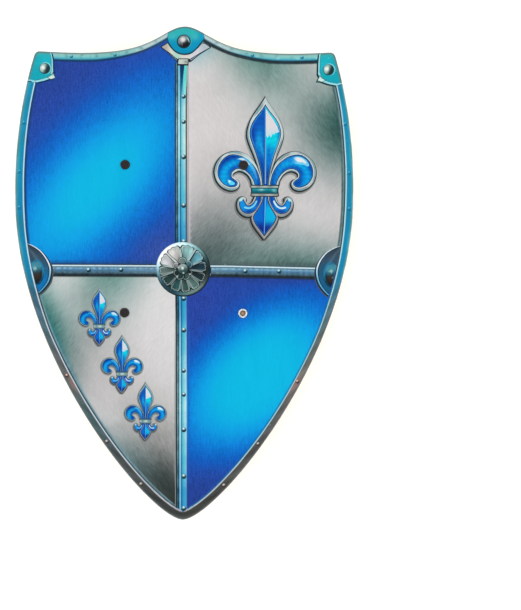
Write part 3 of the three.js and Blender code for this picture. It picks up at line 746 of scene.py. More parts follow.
def rosette(cx, cy, R):
    """Painted boss: turned rim, scalloped petals between ribs, small inner petals, a knob."""
    def sky(x, y):
        """Reflection by direction round the boss: pale upper left, teal upper right, dark below."""
        a = np.degrees(np.arctan2(y, x)) % 360
        st = [(0, rgb(22, 38, 46)), (14, rgb(30, 64, 80)), (34, rgb(82, 144, 160)), (58, rgb(120, 168, 176)), (80, rgb(134, 176, 174)), (100, rgb(156, 184, 180)), (118, rgb(196, 192, 188)),
              (150, rgb(204, 202, 206)), (172, rgb(122, 140, 136)), (190, rgb(78, 100, 96)), (206, rgb(40, 62, 62)), (235, rgb(28, 50, 52)), (255, rgb(48, 92, 92)), (275, rgb(44, 70, 68)), (300, rgb(96, 126, 120)),
              (318, rgb(46, 72, 72)), (340, rgb(22, 36, 42)), (360, rgb(22, 38, 46))]
        return ramp(a, st)

    def loc(fn):
        return lambda P: fn(P[:, 0] - cx, P[:, 1] - cy)

    print_layer("boss_cast", circle((cx + 0.5, cy - 0.7), R + 0.5, 48), rgb(26, 42, 56))

    def rim_fn(x, y):
        a = np.degrees(np.arctan2(y, x)) % 360
        c = ramp(a, [(0, rgb(22, 34, 36)), (20, rgb(40, 62, 64)), (42, rgb(92, 134, 136)), (62, rgb(134, 176, 178)), (90, rgb(176, 206, 210)), (115, rgb(200, 218, 224)), (140, rgb(218, 232, 238)), (160, rgb(204, 222, 230)),
                     (182, rgb(128, 168, 182)), (200, rgb(70, 110, 124)), (218, rgb(34, 64, 74)), (245, rgb(30, 58, 66)), (262, rgb(60, 96, 104)), (285, rgb(96, 124, 122)), (312, rgb(104, 124, 118)), (335, rgb(52, 62, 60)), (360, rgb(22, 34, 36))])
        r = np.hypot(x, y) / R
        return np.clip(c * (1.12 + 0.14 * smooth(0.55, 0.8, c.mean(axis=1)) - 0.24 * smooth(0.97, 1.0, r) - 0.10 * smooth(0.9, 0.86, r))[:, None], 0, 1)
    print_layer("boss_rim", circle((cx, cy), R, 48), loc(rim_fn), extra=np.vstack([circle((cx, cy), R * f, 48) for f in (0.955, 0.91, 0.87)]))
    ribs = np.radians([57, 22, -9, -39, -68, -96, -127, -160, -188, -224, -263, -303])
    root = R * 0.24
    rim_r = R * 0.885
    petals = []
    for a1, a0 in zip(ribs[:-1], ribs[1:]):
        h = (a1 - a0) / 2
        petals.append(((a0 + a1) / 2, h))

    def outline_of(a, h, inset_r, inset_a):
        # three scallops along the outer end, sides along the ribs
        t = np.linspace(-1, 1, 13)
        lobes = rim_r - inset_r - 0.55 * np.abs(np.sin(t * 1.5 * pi)) * 0 - 0.9 * (1 - np.abs(np.cos(t * 1.5 * pi))) - 1.3 * np.abs(t) ** 6
        hh = h - inset_a
        pts = [(root, -hh * 0.8)] + [(root + (rim_r - root) * f, -hh) for f in (0.4, 0.7)] + list(zip(lobes, t * hh)) + [(root + (rim_r - root) * f, hh) for f in (0.7, 0.4)] + [(root, hh * 0.8)]
        return np.array([(cx + r * cos(a + o), cy + r * sin(a + o)) for r, o in pts])
    for a, h in petals:
        print_layer("boss_gap", outline_of(a, h, -0.45, 0.0), loc(lambda x, y: sky(x, y) * 0.30 + 0.02))
    for a, h in petals:
        print_layer("boss_lip", outline_of(a, h, 0.15, 0.05), loc(lambda x, y: np.clip(mix(sky(x, y), rgb(206, 220, 218), 0.5), 0, 1)))
    for a, h in petals:
        def body(x, y, a=a, h=h):
            c = sky(np.full_like(x, cos(a)), np.full_like(y, sin(a)))
            r = np.hypot(x, y) / R
            o = np.angle(np.exp(1j * (np.arctan2(y, x) - a))) / h
            c = c * (0.74 + 0.34 * smooth(0.30, 0.72, r) - 0.16 * smooth(0.76, 0.86, r) - 0.20 * o * np.sign(cos(a) + 0.3) + 0.05 * np.sin(o * 9))[:, None]
            return np.clip(c, 0, 1)
        ex = np.array([(cx + R * r * cos(a + o * h), cy + R * r * sin(a + o * h)) for r in (0.42, 0.55, 0.68, 0.79) for o in (-0.5, 0, 0.5)])
        print_layer("boss_petal", outline_of(a, h, 0.95, 0.10), loc(body), extra=ex)
    # ribs between the petals
    for i, a in enumerate(ribs[:-1]):
        up = sin(a) > -0.25
        wide = (1.9 if up else 1.25) * (1.25 if i in (0, 7, 9) else 0.9)
        r0, r1 = R * 0.26, R * (0.86 if i in (0, 7, 9) else 0.76)
        line = np.array([(cx + r * cos(a), cy + r * sin(a)) for r in np.linspace(r0, r1, 5)])
        off = np.array([0.35, -0.45])
        print_layer("boss_ribink", band(line + off, wide * 1.35, wide * 0.9), rgb(14, 26, 30))
        print_layer("boss_rib", band(line, wide * 0.75, wide * 0.55), loc(lambda x, y: np.clip(mix(sky(x, y), rgb(196, 214, 214), 0.62 if up else 0.42), 0, 1)))
    # inner petals: raised arches open towards the knob
    for a, wide in ((1.62, 1.0), (2.75, 0.8), (0.62, 0.85), (-0.55, 0.75), (-1.2, 1.05), (-2.0, 1.1), (3.75, 0.8)):
        c = np.array([cx + 0.27 * R * cos(a), cy + 0.27 * R * sin(a)])
        t = np.linspace(a - 1.9, a + 1.9, 11)
        arch = np.stack([c[0] + 0.135 * wide * R * np.cos(t), c[1] + 0.135 * wide * R * np.sin(t)], -1)
        print_layer("boss_calyx_ink", circle(c, R * 0.175 * wide, 16), loc(lambda x, y: sky(x, y) * 0.22 + 0.02))
        print_layer("boss_calyx_in", circle(c, R * 0.105 * wide, 12), loc(lambda x, y: sky(x, y) * 0.70))
        print_layer("boss_calyx", band(arch, 0.75, 0.55), loc(lambda x, y: np.clip(mix(sky(x, y), rgb(188, 206, 204), 0.5), 0, 1)))
    print_layer("boss_knob_ink", circle((cx + 0.2, cy - 0.4), R * 0.215, 20), rgb(28, 48, 50))
    print_layer("boss_knob", circle((cx, cy), R * 0.180, 20),
                loc(lambda x, y: mix(mix(rgb(48, 76, 76), rgb(150, 168, 166), smooth(-0.10 * R, 0.12 * R, y - 0.3 * x)), rgb(246, 250, 250), smooth(1.7, 0.8, np.hypot(x + 0.3, y - 0.3)))),
                extra=rings((cx, cy), R * 0.180, (0.3, 0.45, 0.7), 12))
    for x, y, r in ((0.02, -0.16, 0.035), (-0.21, -0.30, 0.035), (-0.17, 0.05, 0.03), (0.27, -0.20, 0.03)):
        print_layer("boss_dot", circle((cx + x * R, cy + y * R), r * R, 8), rgb(176, 194, 192))


# ------------------------------------------------------------------ the picture, bottom to top

def draw():
    LAYERS.clear()
    inner = {d: inner_line(d) for d in RIM_D[1:]}
    Layer("rim", outline(2.4), rim_color, step=0, lines=[inner[d] for d in RIM_D[1:-1]])
    # quarters: the space inside the rim, cut along the bars
    F = inner[11.0]
    P = to_print(F)

    def quarter(name, sx, sy, fn):
        k = (P[:, 0] * sx > 0) & ((P[:, 1] - 221) * sy > 0)
        pts = P[k]
        c = np.array([0.0, 221.0])
        # order by angle round the quarter's own middle
        ce = np.array([sx * 60.0, 221 + sy * 80.0])
        side = [np.array([0.0, pts[:, 1].max() if sy > 0 else pts[:, 1].min()]), np.array([(pts[:, 0] * sx).max() * sx, 221.0])]
        # the rim points nearest the two bars
        col = pts[np.argmin(np.abs(pts[:, 0]))]
        row = pts[np.argmin(np.abs(pts[:, 1] - 221))]
        loop = np.vstack([pts, [c], [(0.0, col[1])], [(row[0], 221.0)]])
        ang = np.arctan2(loop[:, 1] - ce[1], loop[:, 0] - ce[0])
        loop = loop[np.argsort(ang)]
        Layer(name, to_board(loop), fn, step=3.2)
    quarter("field_ul", -1, 1, ul_color)
    quarter("field_ur", 1, 1, ur_color)
    quarter("field_ll", -1, -1, ll_color)
    quarter("field_lr", 1, -1, lr_color)

    # lilies
    lily(74.0, 292.5, 1.0)
    for cx, cy in ((-73.2, 171.6), (-53.2, 129.4), (-32.4, 87.6)):
        lily(cx, cy, 0.41, small=True)

    # horizontal bars
    for right in (False, True):
        x0, x1 = (23, 119.6) if right else (-117.4, -22)
        xs = np.linspace(x0, x1, 60)
        lines = [np.stack([xs, cross_line(xs) + s], -1) for s in H_STOPS[1:-1]]
        print_layer("hbar", np.vstack([np.stack([xs, cross_line(xs) - 6.3], -1), np.stack([xs, cross_line(xs) + 6.2], -1)[::-1]]), lambda q, right=right: hbar_color(right)(to_board(q)), lines=lines)
    print_layer("hbar_end", np.array([(24.2, 217.0), (25.2, 217.0), (25.2, 225.4), (24.2, 225.4)]), rgb(214, 228, 232))
    print_layer("hbar_end_ink", np.array([(25.2, 217.4), (26.0, 217.4), (26.0, 224.4), (25.2, 224.4)]), rgb(40, 62, 78))
    # vertical bar
    x0, x1 = -6.3, 5.9
    q0, q1 = 6.6, 405.5
    qs = np.linspace(q0, q1, 100)
    lines = [np.stack([s + np.interp(qs, [180, 260], [0.42, -0.42]), qs], -1) for s in V_STOPS[1:-1]]
    tip = np.array([(x0, 12.2), (0.2, 7.6), (x1, 12.2)])
    print_layer("vbar", np.vstack([[(x0, q1)], tip, [(x1, q1)]]), lambda q: vbar_color(to_board(q)), lines=lines)

    # folded end of the bar under the top plate
    print_layer("vbar_fold", np.array([(-1.9, 404.2), (2.2, 404.2), (0.9, 392.0), (-0.2, 376.0), (-1.0, 392.0)]), lambda q: mix(rgb(6, 56, 98), rgb(16, 100, 140), smooth(398, 378, q[:, 1])))
    print_layer("vbar_fold2", np.array([(2.3, 404.2), (4.7, 404.2), (4.0, 386.0), (2.6, 368.0), (1.2, 384.0)]), lambda q: mix(rgb(92, 214, 200), rgb(150, 228, 224), smooth(398, 374, q[:, 1])))
    # studs on the bars
    S = 0.8876
    for q in (376, 353.5, 322.4, 279.3, 247.3, 196.6, 168.6, 132.6, 111.4, 80.2, 38.8, 10.4):
        r = 1.75 if q > 340 or 100 < q < 150 else 2.0
        stud(1.35, q, r, "bar_stud", ring=None, n=16, dark=rgb(20, 60, 70), mid=rgb(90, 150, 160), bright=rgb(236, 240, 244), light=(-0.5, 0.7) if q > 300 else (-0.1, 0.8))
    for p, q in ((-83.1, 221.6), (-54.2, 222.0), (56.1, 221.2), (86.1, 221.2)):
        stud(p, q, 1.9, "bar_stud", n=16, dark=rgb(20, 52, 66), mid=rgb(90, 146, 160), bright=rgb(226, 240, 244))

    # top plate: bowl-shaped silver band, cyan lens and a large stud
    curve = lambda d: spline([(-12.7 - d * 0.6, 427.9 - d * 0.2), (-11.2 - d, 423.4 - d * 0.4), (-7.6 - d * 0.7, 418.2 - d * 0.7), (-3.2 - d * 0.3, 415.1 - d), (2.1, 413.9 - d), (7.5 + d * 0.3, 415.0 - d),
                              (12.3 + d * 0.7, 418.7 - d * 0.7), (16.3 + d, 423.4 - d * 0.4), (19.7 + d * 0.6, 427.7 - d * 0.2)], 4, closed=False)
    low_l, low_r = [(-18.0, 419.6), (-11.0, 414.6), (-3.8, 409.0)], [(7.2, 409.2), (15.6, 414.4), (24.8, 419.5)]
    print_layer("bowl_moulding_ink", np.array([(-19.2, 419.6), (-11.4, 413.4), (-4.2, 406.0), (-2.6, 406.0), (-2.6, 410), (6, 410), (6.0, 406.2), (7.6, 406.2), (16.2, 413.2), (26.0, 419.4), (24.8, 421.4), (15.6, 416), (-11, 416.5), (-18.0, 421.2)]), rgb(22, 36, 46))
    print_layer("bowl_moulding", np.array([(-18.2, 419.2), (-10.9, 413.7), (-4.2, 407.4), (-4.6, 408.4), (-11.2, 414.3), (-18.3, 419.8)]), rgb(132, 172, 188))
    print_layer("bowl_moulding", np.array([(7.7, 407.6), (16.0, 413.8), (25.2, 419.2), (25.0, 419.9), (15.7, 414.6), (7.4, 408.6)]), rgb(140, 160, 172))
    bowl = np.vstack([low_l, low_r, [(20.4, 422.6)], curve(1.4)[::-1][4:-4], [(-12.8, 422.8)]])
    print_layer("bowl_ink", grow(bowl, 0.65), rgb(22, 38, 44))
    print_layer("bowl", bowl, lambda q: mix(mix(rgb(222, 216, 204), rgb(170, 214, 202), np.exp(-((q[:, 0] + 4.4) / 3.6) ** 2)), mix(rgb(208, 210, 220), rgb(176, 190, 196), smooth(14, 20, q[:, 0])), smooth(2, 11, q[:, 0])) * (1 - 0.22 * smooth(-9, -15, q[:, 0]))[:, None], step=2.0)
    arc = lambda g: np.array([(x, top_edge(x - 2.66) - g) for x in np.linspace(19.3, -12.3, 20)])
    print_layer("lens_ink", np.vstack([curve(0.9), arc(0.5)]), rgb(14, 74, 96))

    def lens_fn(q):
        x, y = q[:, 0] - 2.6, q[:, 1]
        c = mix(rgb(0, 146, 188), rgb(44, 178, 180), smooth(422, 432, y))
        c = mix(c, rgb(0, 148, 196), 0.7 * smooth(9, 15, x))
        c = mix(c, rgb(92, 186, 190), 0.55 * np.exp(-(((x + 11) / 3.0) ** 2 + ((y - 428.5) / 2.5) ** 2)) + 0.5 * np.exp(-(((x - 9.0) / 3.4) ** 2 + ((y - 428.5) / 2.6) ** 2)))
        c = mix(c, rgb(0, 124, 164), 0.5 * smooth(418, 414, y))
        return mix(c, rgb(96, 116, 120), 0.85 * smooth(-2.3, -0.9, y - top_edge(x)))
    print_layer("lens", np.vstack([curve(0.0), arc(0.15)]), lens_fn, step=2.0, lines=[arc(0.9), arc(2.0)])
    sc = (1.8, 424.6)
    print_layer("lens_stud_ring", circle((sc[0] + 0.4, sc[1] + 0.4), 6.6, 24), rgb(60, 160, 176))
    print_layer("lens_stud_foot", circle((sc[0] - 0.2, sc[1] - 0.1), 6.2, 24), rgb(8, 62, 70))
    print_layer("lens_stud", circle(sc, 5.4, 24), lambda q: dome(sc, 5.4, light=(-0.45, 0.8), dark=rgb(24, 24, 30), mid=rgb(120, 132, 138), bright=rgb(222, 222, 218))(to_board(q)), extra=rings(sc, 5.4, (0.15, 0.3, 0.45, 0.6, 0.78, 0.92)))
    print_layer("lens_stud_glint", np.array([(3.8, 428.9), (5.5, 427.6), (6.6, 425.4), (6.4, 423.4), (5.8, 425.2), (4.8, 427.0)]), rgb(150, 214, 214))
    # block that joins the bowl to the bar
    print_layer("block_ink", np.array([(-4.4, 403.2), (5.8, 403.2), (6.0, 409.6), (-3.6, 409.6)]), rgb(20, 36, 44))
    print_layer("block", np.array([(-3.4, 404.6), (4.9, 404.6), (5.2, 408.8), (-2.8, 408.8)]), lambda q: mix(rgb(196, 204, 198), rgb(120, 140, 118), np.exp(-((q[:, 0] - 3.6) / 1.6) ** 2 - ((q[:, 1] - 406.6) / 1.4) ** 2)), step=1.5)

    # corner plates
    def corner(side):
        if side < 0:
            edge = [(-118.6, 414.2), (-117.2, 408.0), (-116.9, 397.4), (-118.0, 394.9), (-116.3, 392.0), (-119.4, 391.4), (-124.5, 389.6), (-131.2, 388.0), (-137.0, 389.2)]
        else:
            edge = [(119.3, 413.6), (118.6, 406.4), (118.4, 396.6), (119.6, 393.8), (117.7, 390.0), (121.4, 389.8), (127.6, 387.6), (134.4, 386.4), (141.0, 388.0)]
        E = np.array(edge)
        tail = E[-1]
        o = OUT[(OUT[:, 0] * side > 100) & (OUT[:, 1] > min(tail[1], 388.0) + 0.0)]
        top_pt = E[0]
        o = o[~((o[:, 1] > 411) & (np.abs(o[:, 0]) < abs(top_pt[0])))]
        ang = np.arctan2(o[:, 1] - 400, (o[:, 0] - side * 120))
        o = o[np.argsort(-side * 0 + (o[:, 1] if False else -np.unwrap(np.sort(ang)) * 0)) ] if False else o
        # walk the outline from the plate's foot up round the corner to its top end
        key = np.where(o[:, 1] < 411.4, o[:, 1], 411.4 + (134 - np.abs(o[:, 0])))
        o = o[np.argsort(key)]
        return E, o
    for side in (-1, 1):
        E, o = corner(side)
        poly = np.vstack([o, E])
        dark = np.vstack([o, E + [-side * 1.5, -1.3]])
        shade = rgb(16, 50, 92) if side < 0 else rgb(20, 52, 56)
        Layer("plate_shade", dark, flat(shade))
        o = o[1:-1]
        Layer("plate_light", np.vstack([o, E + [-side * 0.0, -0.2]]), flat(rgb(150, 220, 230)))
        E2 = E + np.array([side * 1.7, 1.5])
        ink = np.vstack([o[:-1], E2 + [-side * 0.5, -0.3]])
        Layer("plate_ink", ink, flat(rgb(34, 122, 134)))

        def plate_fn(Q, side=side):
            u, v = Q[:, 0] * side, Q[:, 1]
            c = mix(rgb(14, 166, 182), rgb(26, 180, 198), np.exp(-(((u - 124) / 8.0) ** 2 + ((v - 406) / 6.0) ** 2)))
            c = mix(c, rgb(64, 182, 178), 0.7 * smooth(408, 414, v))
            c = mix(c, rgb(20, 150, 176), smooth(392, 388, v) * 0.6)
            d = edge_distance(Q)
            return mix(c, rgb(104, 128, 128), smooth(2.6, 1.0, d) * 0.9)
        Layer("plate", np.vstack([o[:-1], E2]), plate_fn, step=1.5, lines=[])
        c = np.array([side * 124.6 + (0.2 if side < 0 else 3.0), 400.2])
        cp = to_print(c[None])[0]
        print_layer("plate_stud_ring", circle((cp[0] + 0.7, cp[1] + 0.1), 5.4, 22), rgb(120, 210, 222))
        print_layer("plate_stud_foot", circle((cp[0] + 0.1, cp[1] - 0.2), 5.0, 22), rgb(14, 84, 90))
        print_layer("plate_stud", circle(cp, 4.4, 22), lambda q, cp=cp: dome(cp, 4.4, light=(-0.75, 0.30), dark=rgb(30, 50, 52), mid=rgb(150, 186, 178), bright=rgb(238, 244, 242))(to_board(q)), extra=rings(cp, 4.4))
        # folded tab at the plate's inner corner
        f = np.array([(118.4, 395.4), (121.0, 392.6), (123.0, 391.6), (120.2, 390.2), (116.6, 391.4)]) * [side, 1] + ([1.4, 0.6] if side < 0 else [1.6, -0.8])
        Layer("plate_tab_ink", grow(f, 0.5), flat(rgb(40, 70, 70)))
        Layer("plate_tab", f, lambda Q, side=side: mix(rgb(206, 232, 226), rgb(120, 176, 170), smooth(393, 395, Q[:, 1])))
        # bright bar where the plate meets the side rim
        g = np.array([(137.0, 389.3), (134.6, 387.9), (134.2, 386.3), (137.2, 387.6)]) * [side, 1] + ([1.2, 0.8] if side < 0 else [0.4, -0.6])
        Layer("plate_foot", g, flat(rgb(150, 216, 230)))

    # half-round plates at the ends of the cross bar; the rim runs on over them
    for side in (-1, 1):
        if side < 0:
            pts = [(-137.6, 244.6), (-133.5, 243.4), (-125.6, 238.4), (-119.4, 230.4), (-116.4, 222.0), (-117.8, 212.4), (-121.6, 206.2), (-127.0, 201.0), (-133.0, 198.6)]
            ctr = (-130.0, 219.6)
        else:
            pts = [(139.4, 243.4), (135.0, 242.0), (127.4, 237.4), (121.4, 229.6), (119.0, 221.4), (120.4, 212.6), (123.8, 206.2), (129.2, 200.4), (134.2, 197.2)]
            ctr = (133.0, 218.4)
        E = to_board(spline(np.array(pts), 4, closed=False))
        o = OUT[(OUT[:, 0] * side > 100)]
        o = o[(o[:, 1] < E[0, 1]) & (o[:, 1] > E[-1, 1])]
        o = o[np.argsort(o[:, 1])]
        Layer("half_shade2", np.vstack([o, E + [-side * (2.4 if side < 0 else 1.7), -1.5]]), lambda Q: mix(rgb(78, 84, 84), rgb(14, 84, 150), smooth(224, 232, Q[:, 1])))
        Layer("half_shade", np.vstack([o, E + [-side * 1.3, -0.7]]), flat(rgb(22, 44, 66)))
        Layer("half_light", np.vstack([o, E]), lambda Q: mix(rgb(222, 236, 242), rgb(96, 172, 208), smooth(228, 210, Q[:, 1])))
        E2 = E + [side * 1.25, 0]
        Layer("half_line", np.vstack([o[1:-1], E2[1:-1]]), flat(rgb(20, 48, 74)))
        E2 = (E + [side * 2.1, 0])[2:-2]

        def half_fn(Q, side=side):
            v = Q[:, 1]
            d = edge_distance(Q)
            c = ramp(v, [(198, rgb(12, 96, 150)), (206, rgb(2, 112, 176)), (213, rgb(6, 112, 176)), (220, rgb(26, 98, 138)), (227, rgb(44, 84, 112)), (234, rgb(54, 74, 92)), (240, rgb(46, 62, 76)), (244, rgb(40, 58, 70))])
            if side > 0:
                c = mix(c, rgb(40, 70, 86), 0.5 * smooth(232, 216, v))
            # a soft ridge parallel to the curved edge
            ridge = np.exp(-((d - 15.5 + 0.02 * (v - 221) ** 2) / 1.6) ** 2)
            return mix(c, rgb(96, 132, 150), 0.45 * ridge * smooth(214, 226, v))
        Layer("half", np.vstack([o[2:-2], E2]), half_fn, step=1.8)
        print_layer("half_ring", circle((ctr[0] - side * 0.9, ctr[1] - 0.4), 6.7, 28, 11.2), lambda q, ctr=ctr: mix(rgb(30, 122, 166), rgb(10, 60, 84), smooth(2, -8, q[:, 1] - ctr[1])))

        def hd(q, ctr=ctr):
            x, y = (q[:, 0] - ctr[0]) / 5.9, (q[:, 1] - ctr[1]) / 10.2
            c = ramp(y - 0.10 * x, [(-1, rgb(14, 16, 22)), (-0.72, rgb(44, 34, 26)), (-0.35, rgb(56, 44, 34)), (-0.12, rgb(40, 56, 62)), (0.12, rgb(44, 100, 118)), (0.45, rgb(70, 140, 156)), (0.8, rgb(60, 134, 156)), (1, rgb(34, 92, 120))])
            c = mix(c, rgb(16, 30, 40), 0.6 * smooth(0.5, 0.95, np.hypot(x, y)) * smooth(0.4, -0.2, y))
            return mix(c, rgb(150, 196, 200), smooth(0.30, 0.08, np.hypot((x + 0.1) * 0.8, (y - 0.28) * 1.5)))
        print_layer("half_dome", circle(ctr, 5.9, 28, 10.2), hd, extra=np.vstack([circle(ctr, 5.9 * f, 20, 10.2 * f) for f in (0.2, 0.4, 0.6, 0.8, 0.93)]))
        # the rim again, on top
        v0, v1 = E[-1, 1] - 3.5, E[0, 1] + 3.5
        oo = OUT[(OUT[:, 0] * side > 100) & (OUT[:, 1] > v0) & (OUT[:, 1] < v1)]
        oo = oo[np.argsort(oo[:, 1])]

        def cut(dd):
            L = inner_line(dd)
            L = L[(L[:, 0] * side > 100) & (L[:, 1] > v0 - 1.0) & (L[:, 1] < v1 + 1.0)]
            return L[np.argsort(L[:, 1])]
        L = cut(7.8)
        Layer("rim_over", np.vstack([oo, L[::-1]]), rim_color, lines=[cut(dd) for dd in RIM_D[1:14]])

    # round heads along the rim
    for u, v, r in ((-146.6, 0, 0),):
        pass
    for side, v, r, d in ((-1, 352.5, 1.5, 3.6), (-1, 309.5, 1.5, 3.4), (-1, 276.6, 1.5, 3.4), (1, 352.5, 1.5, 3.6), (1, 309.5, 1.5, 3.4), (1, 276.6, 1.5, 3.4),
                          (-1, 126.4, 1.7, 3.4), (-1, 67.6, 1.8, 3.4), (-1, 29.4, 1.8, 3.4), (1, 122.0, 1.7, 3.4), (1, 65.6, 1.8, 3.4), (1, 28.2, 1.8, 3.4)):
        h = right_half()
        h = h[h[:, 1] < 411]
        i = np.argmin(np.abs(h[:, 1] - v))
        t = h[min(i + 3, len(h) - 1)] - h[max(i - 3, 0)]
        nrm = np.array([-t[1], t[0]]) / hypot(*t)
        c = (h[i] + nrm * d) * [side, 1]
        cp = to_print(c[None])[0]
        warm = v < 130 and v > 110
        if v > 200:
            stud(cp[0], cp[1], 1.25, "rim_stud", n=14, shadow=rgb(12, 100, 136), dark=rgb(14, 108, 148), mid=rgb(40, 150, 186), bright=rgb(110, 200, 220))
            # the joint in the rim beside the head
            print_layer("rim_joint", np.array([(cp[0] - 2.6, cp[1] - 2.3), (cp[0] + 2.4, cp[1] - 2.1), (cp[0] + 2.4, cp[1] - 1.7), (cp[0] - 2.6, cp[1] - 1.9)]), rgb(16, 96, 128))
        else:
            stud(cp[0], cp[1], r * 0.9, "rim_stud", n=14, shadow=rgb(52, 46, 46), dark=rgb(70, 60, 56), mid=rgb(176, 110, 84) if warm else rgb(140, 132, 126), bright=rgb(244, 226, 216) if warm else rgb(226, 222, 220))
    for u in (-100.8, -62.0, 60.0, 104.0):
        v = top_edge(u) - 3.2
        cp = to_print(np.array([[u, v]]))[0]
        stud(cp[0], cp[1], 1.4, "rim_stud", n=14, shadow=rgb(20, 96, 124), dark=rgb(20, 110, 140), mid=rgb(60, 160, 186), bright=rgb(150, 216, 226))

    rosette(0.7, 222.9, 23.7)
    return LAYERS


RIVETS = [(-52.5, 183.6), (-52.5, 315.0), (52.5, 183.6), (52.5, 315.0)]


# ================================================================== mesh helpers

MM = 0.001
TIP_Y = -219.0                       # the board's tip, with v = 0 there
BACK_Z, FRONT_Z = 30.0, 36.0
VENEER_Z = 35.2                      # underside of the printed face sheet
EASE = 0.7
HOLE_R = 2.6
MID_Y, HIGH_Y, LOW_Y, RIVET_X = 30.3, 96.0, -35.4, 52.5


def linear(c):
    c = np.clip(np.asarray(c, float), 0, 1)
    return np.where(c <= 0.04045, c / 12.92, ((c + 0.055) / 1.055) ** 2.4)


def mesh_object(name, verts, faces, smooth=True):
    me = bpy.data.meshes.new(name)
    me.from_pydata([tuple(v) for v in verts], [], [tuple(int(i) for i in f) for f in faces])
    me.validate()
    me.update()
    if smooth:
        me.shade_smooth()
    ob = bpy.data.objects.new(name, me)
    bpy.context.scene.collection.objects.link(ob)
    return ob


def loop_edges(n, start):
    return [(start + i, start + (i + 1) % n) for i in range(n)]


def grid_points(poly, step):
    """Evenly spread points inside a closed outline, kept off its edge."""
    lo, hi = poly.min(0), poly.max(0)
    rows = []
    for j, y in enumerate(np.arange(lo[1] + step * 0.5, hi[1], step * 0.87)):
        xs = np.arange(lo[0] + step * (0.25 + 0.5 * (j % 2)), hi[0], step)
        if len(xs):
            rows.append(np.stack([xs, np.full(len(xs), y)], -1))
    if not rows:
        return np.zeros((0, 2))
    P = np.vstack(rows)
    P = P[inside(poly, P)]
    if len(P) == 0:
        return P
    A, D = poly, np.roll(poly, -1, axis=0) - poly
    L2 = np.maximum((D ** 2).sum(1), 1e-12)
    keep = np.ones(len(P), bool)
    for i0 in range(0, len(P), 2000):
        x = P[i0:i0 + 2000, 0][:, None] - A[:, 0]
        y = P[i0:i0 + 2000, 1][:, None] - A[:, 1]
        t = np.clip((x * D[:, 0] + y * D[:, 1]) / L2, 0, 1)
        keep[i0:i0 + 2000] = np.sqrt(((x - t * D[:, 0]) ** 2 + (y - t * D[:, 1]) ** 2).min(1)) > step * 0.45
    return P[keep]


def triangulate(loops, lines=(), points=None):
    """Constrained triangles over closed loops, open lines and loose points (mm)."""
    co, edges, n = [], [], 0
    for L in loops:
        co.append(L)
        edges += loop_edges(len(L), n)
        n += len(L)
    for L in lines:
        co.append(L)
        edges += [(n + i, n + i + 1) for i in range(len(L) - 1)]
        n += len(L)
    if points is not None and len(points):
        co.append(points)
    co = np.vstack(co)
    out = delaunay_2d_cdt([Vector((float(x), float(y))) for x, y in co], edges, [], 0, 2e-4)
    V = np.array([(v.x, v.y) for v in out[0]])
    T = np.array([tuple(f) for f in out[2]], int)
    a = V[T]
    area2 = (a[:, 1, 0] - a[:, 0, 0]) * (a[:, 2, 1] - a[:, 0, 1]) - (a[:, 2, 0] - a[:, 0, 0]) * (a[:, 1, 1] - a[:, 0, 1])
    T[area2 < 0] = T[area2 < 0][:, ::-1]
    return V, T[np.abs(area2) > 1e-9]


def boundary_loops(T):
    """Chains of the edges that only one triangle uses, in the triangles' own turning."""
    from collections import defaultdict
    count = defaultdict(int)
    for t in T:
        for i in range(3):
            a, b = int(t[i]), int(t[(i + 1) % 3])
            count[(min(a, b), max(a, b))] += 1
    nxt = {}
    for t in T:
        for i in range(3):
            a, b = int(t[i]), int(t[(i + 1) % 3])
            if count[(min(a, b), max(a, b))] == 1:
                nxt[a] = b
    loops, left = [], set(nxt)
    while left:
        s = min(left)
        loop, k = [], s
        while k in left:
            left.discard(k)
            loop.append(k)
            k = nxt[k]
        loops.append(loop)
    return loops


def hole_loop(c, r=HOLE_R, n=28):
    return circle(c, r, n)


def board_xy(P):
    P = np.asarray(P, float)
    return np.stack([P[..., 0] * MM, (P[..., 1] + TIP_Y) * MM], -1)


# ================================================================== node helpers

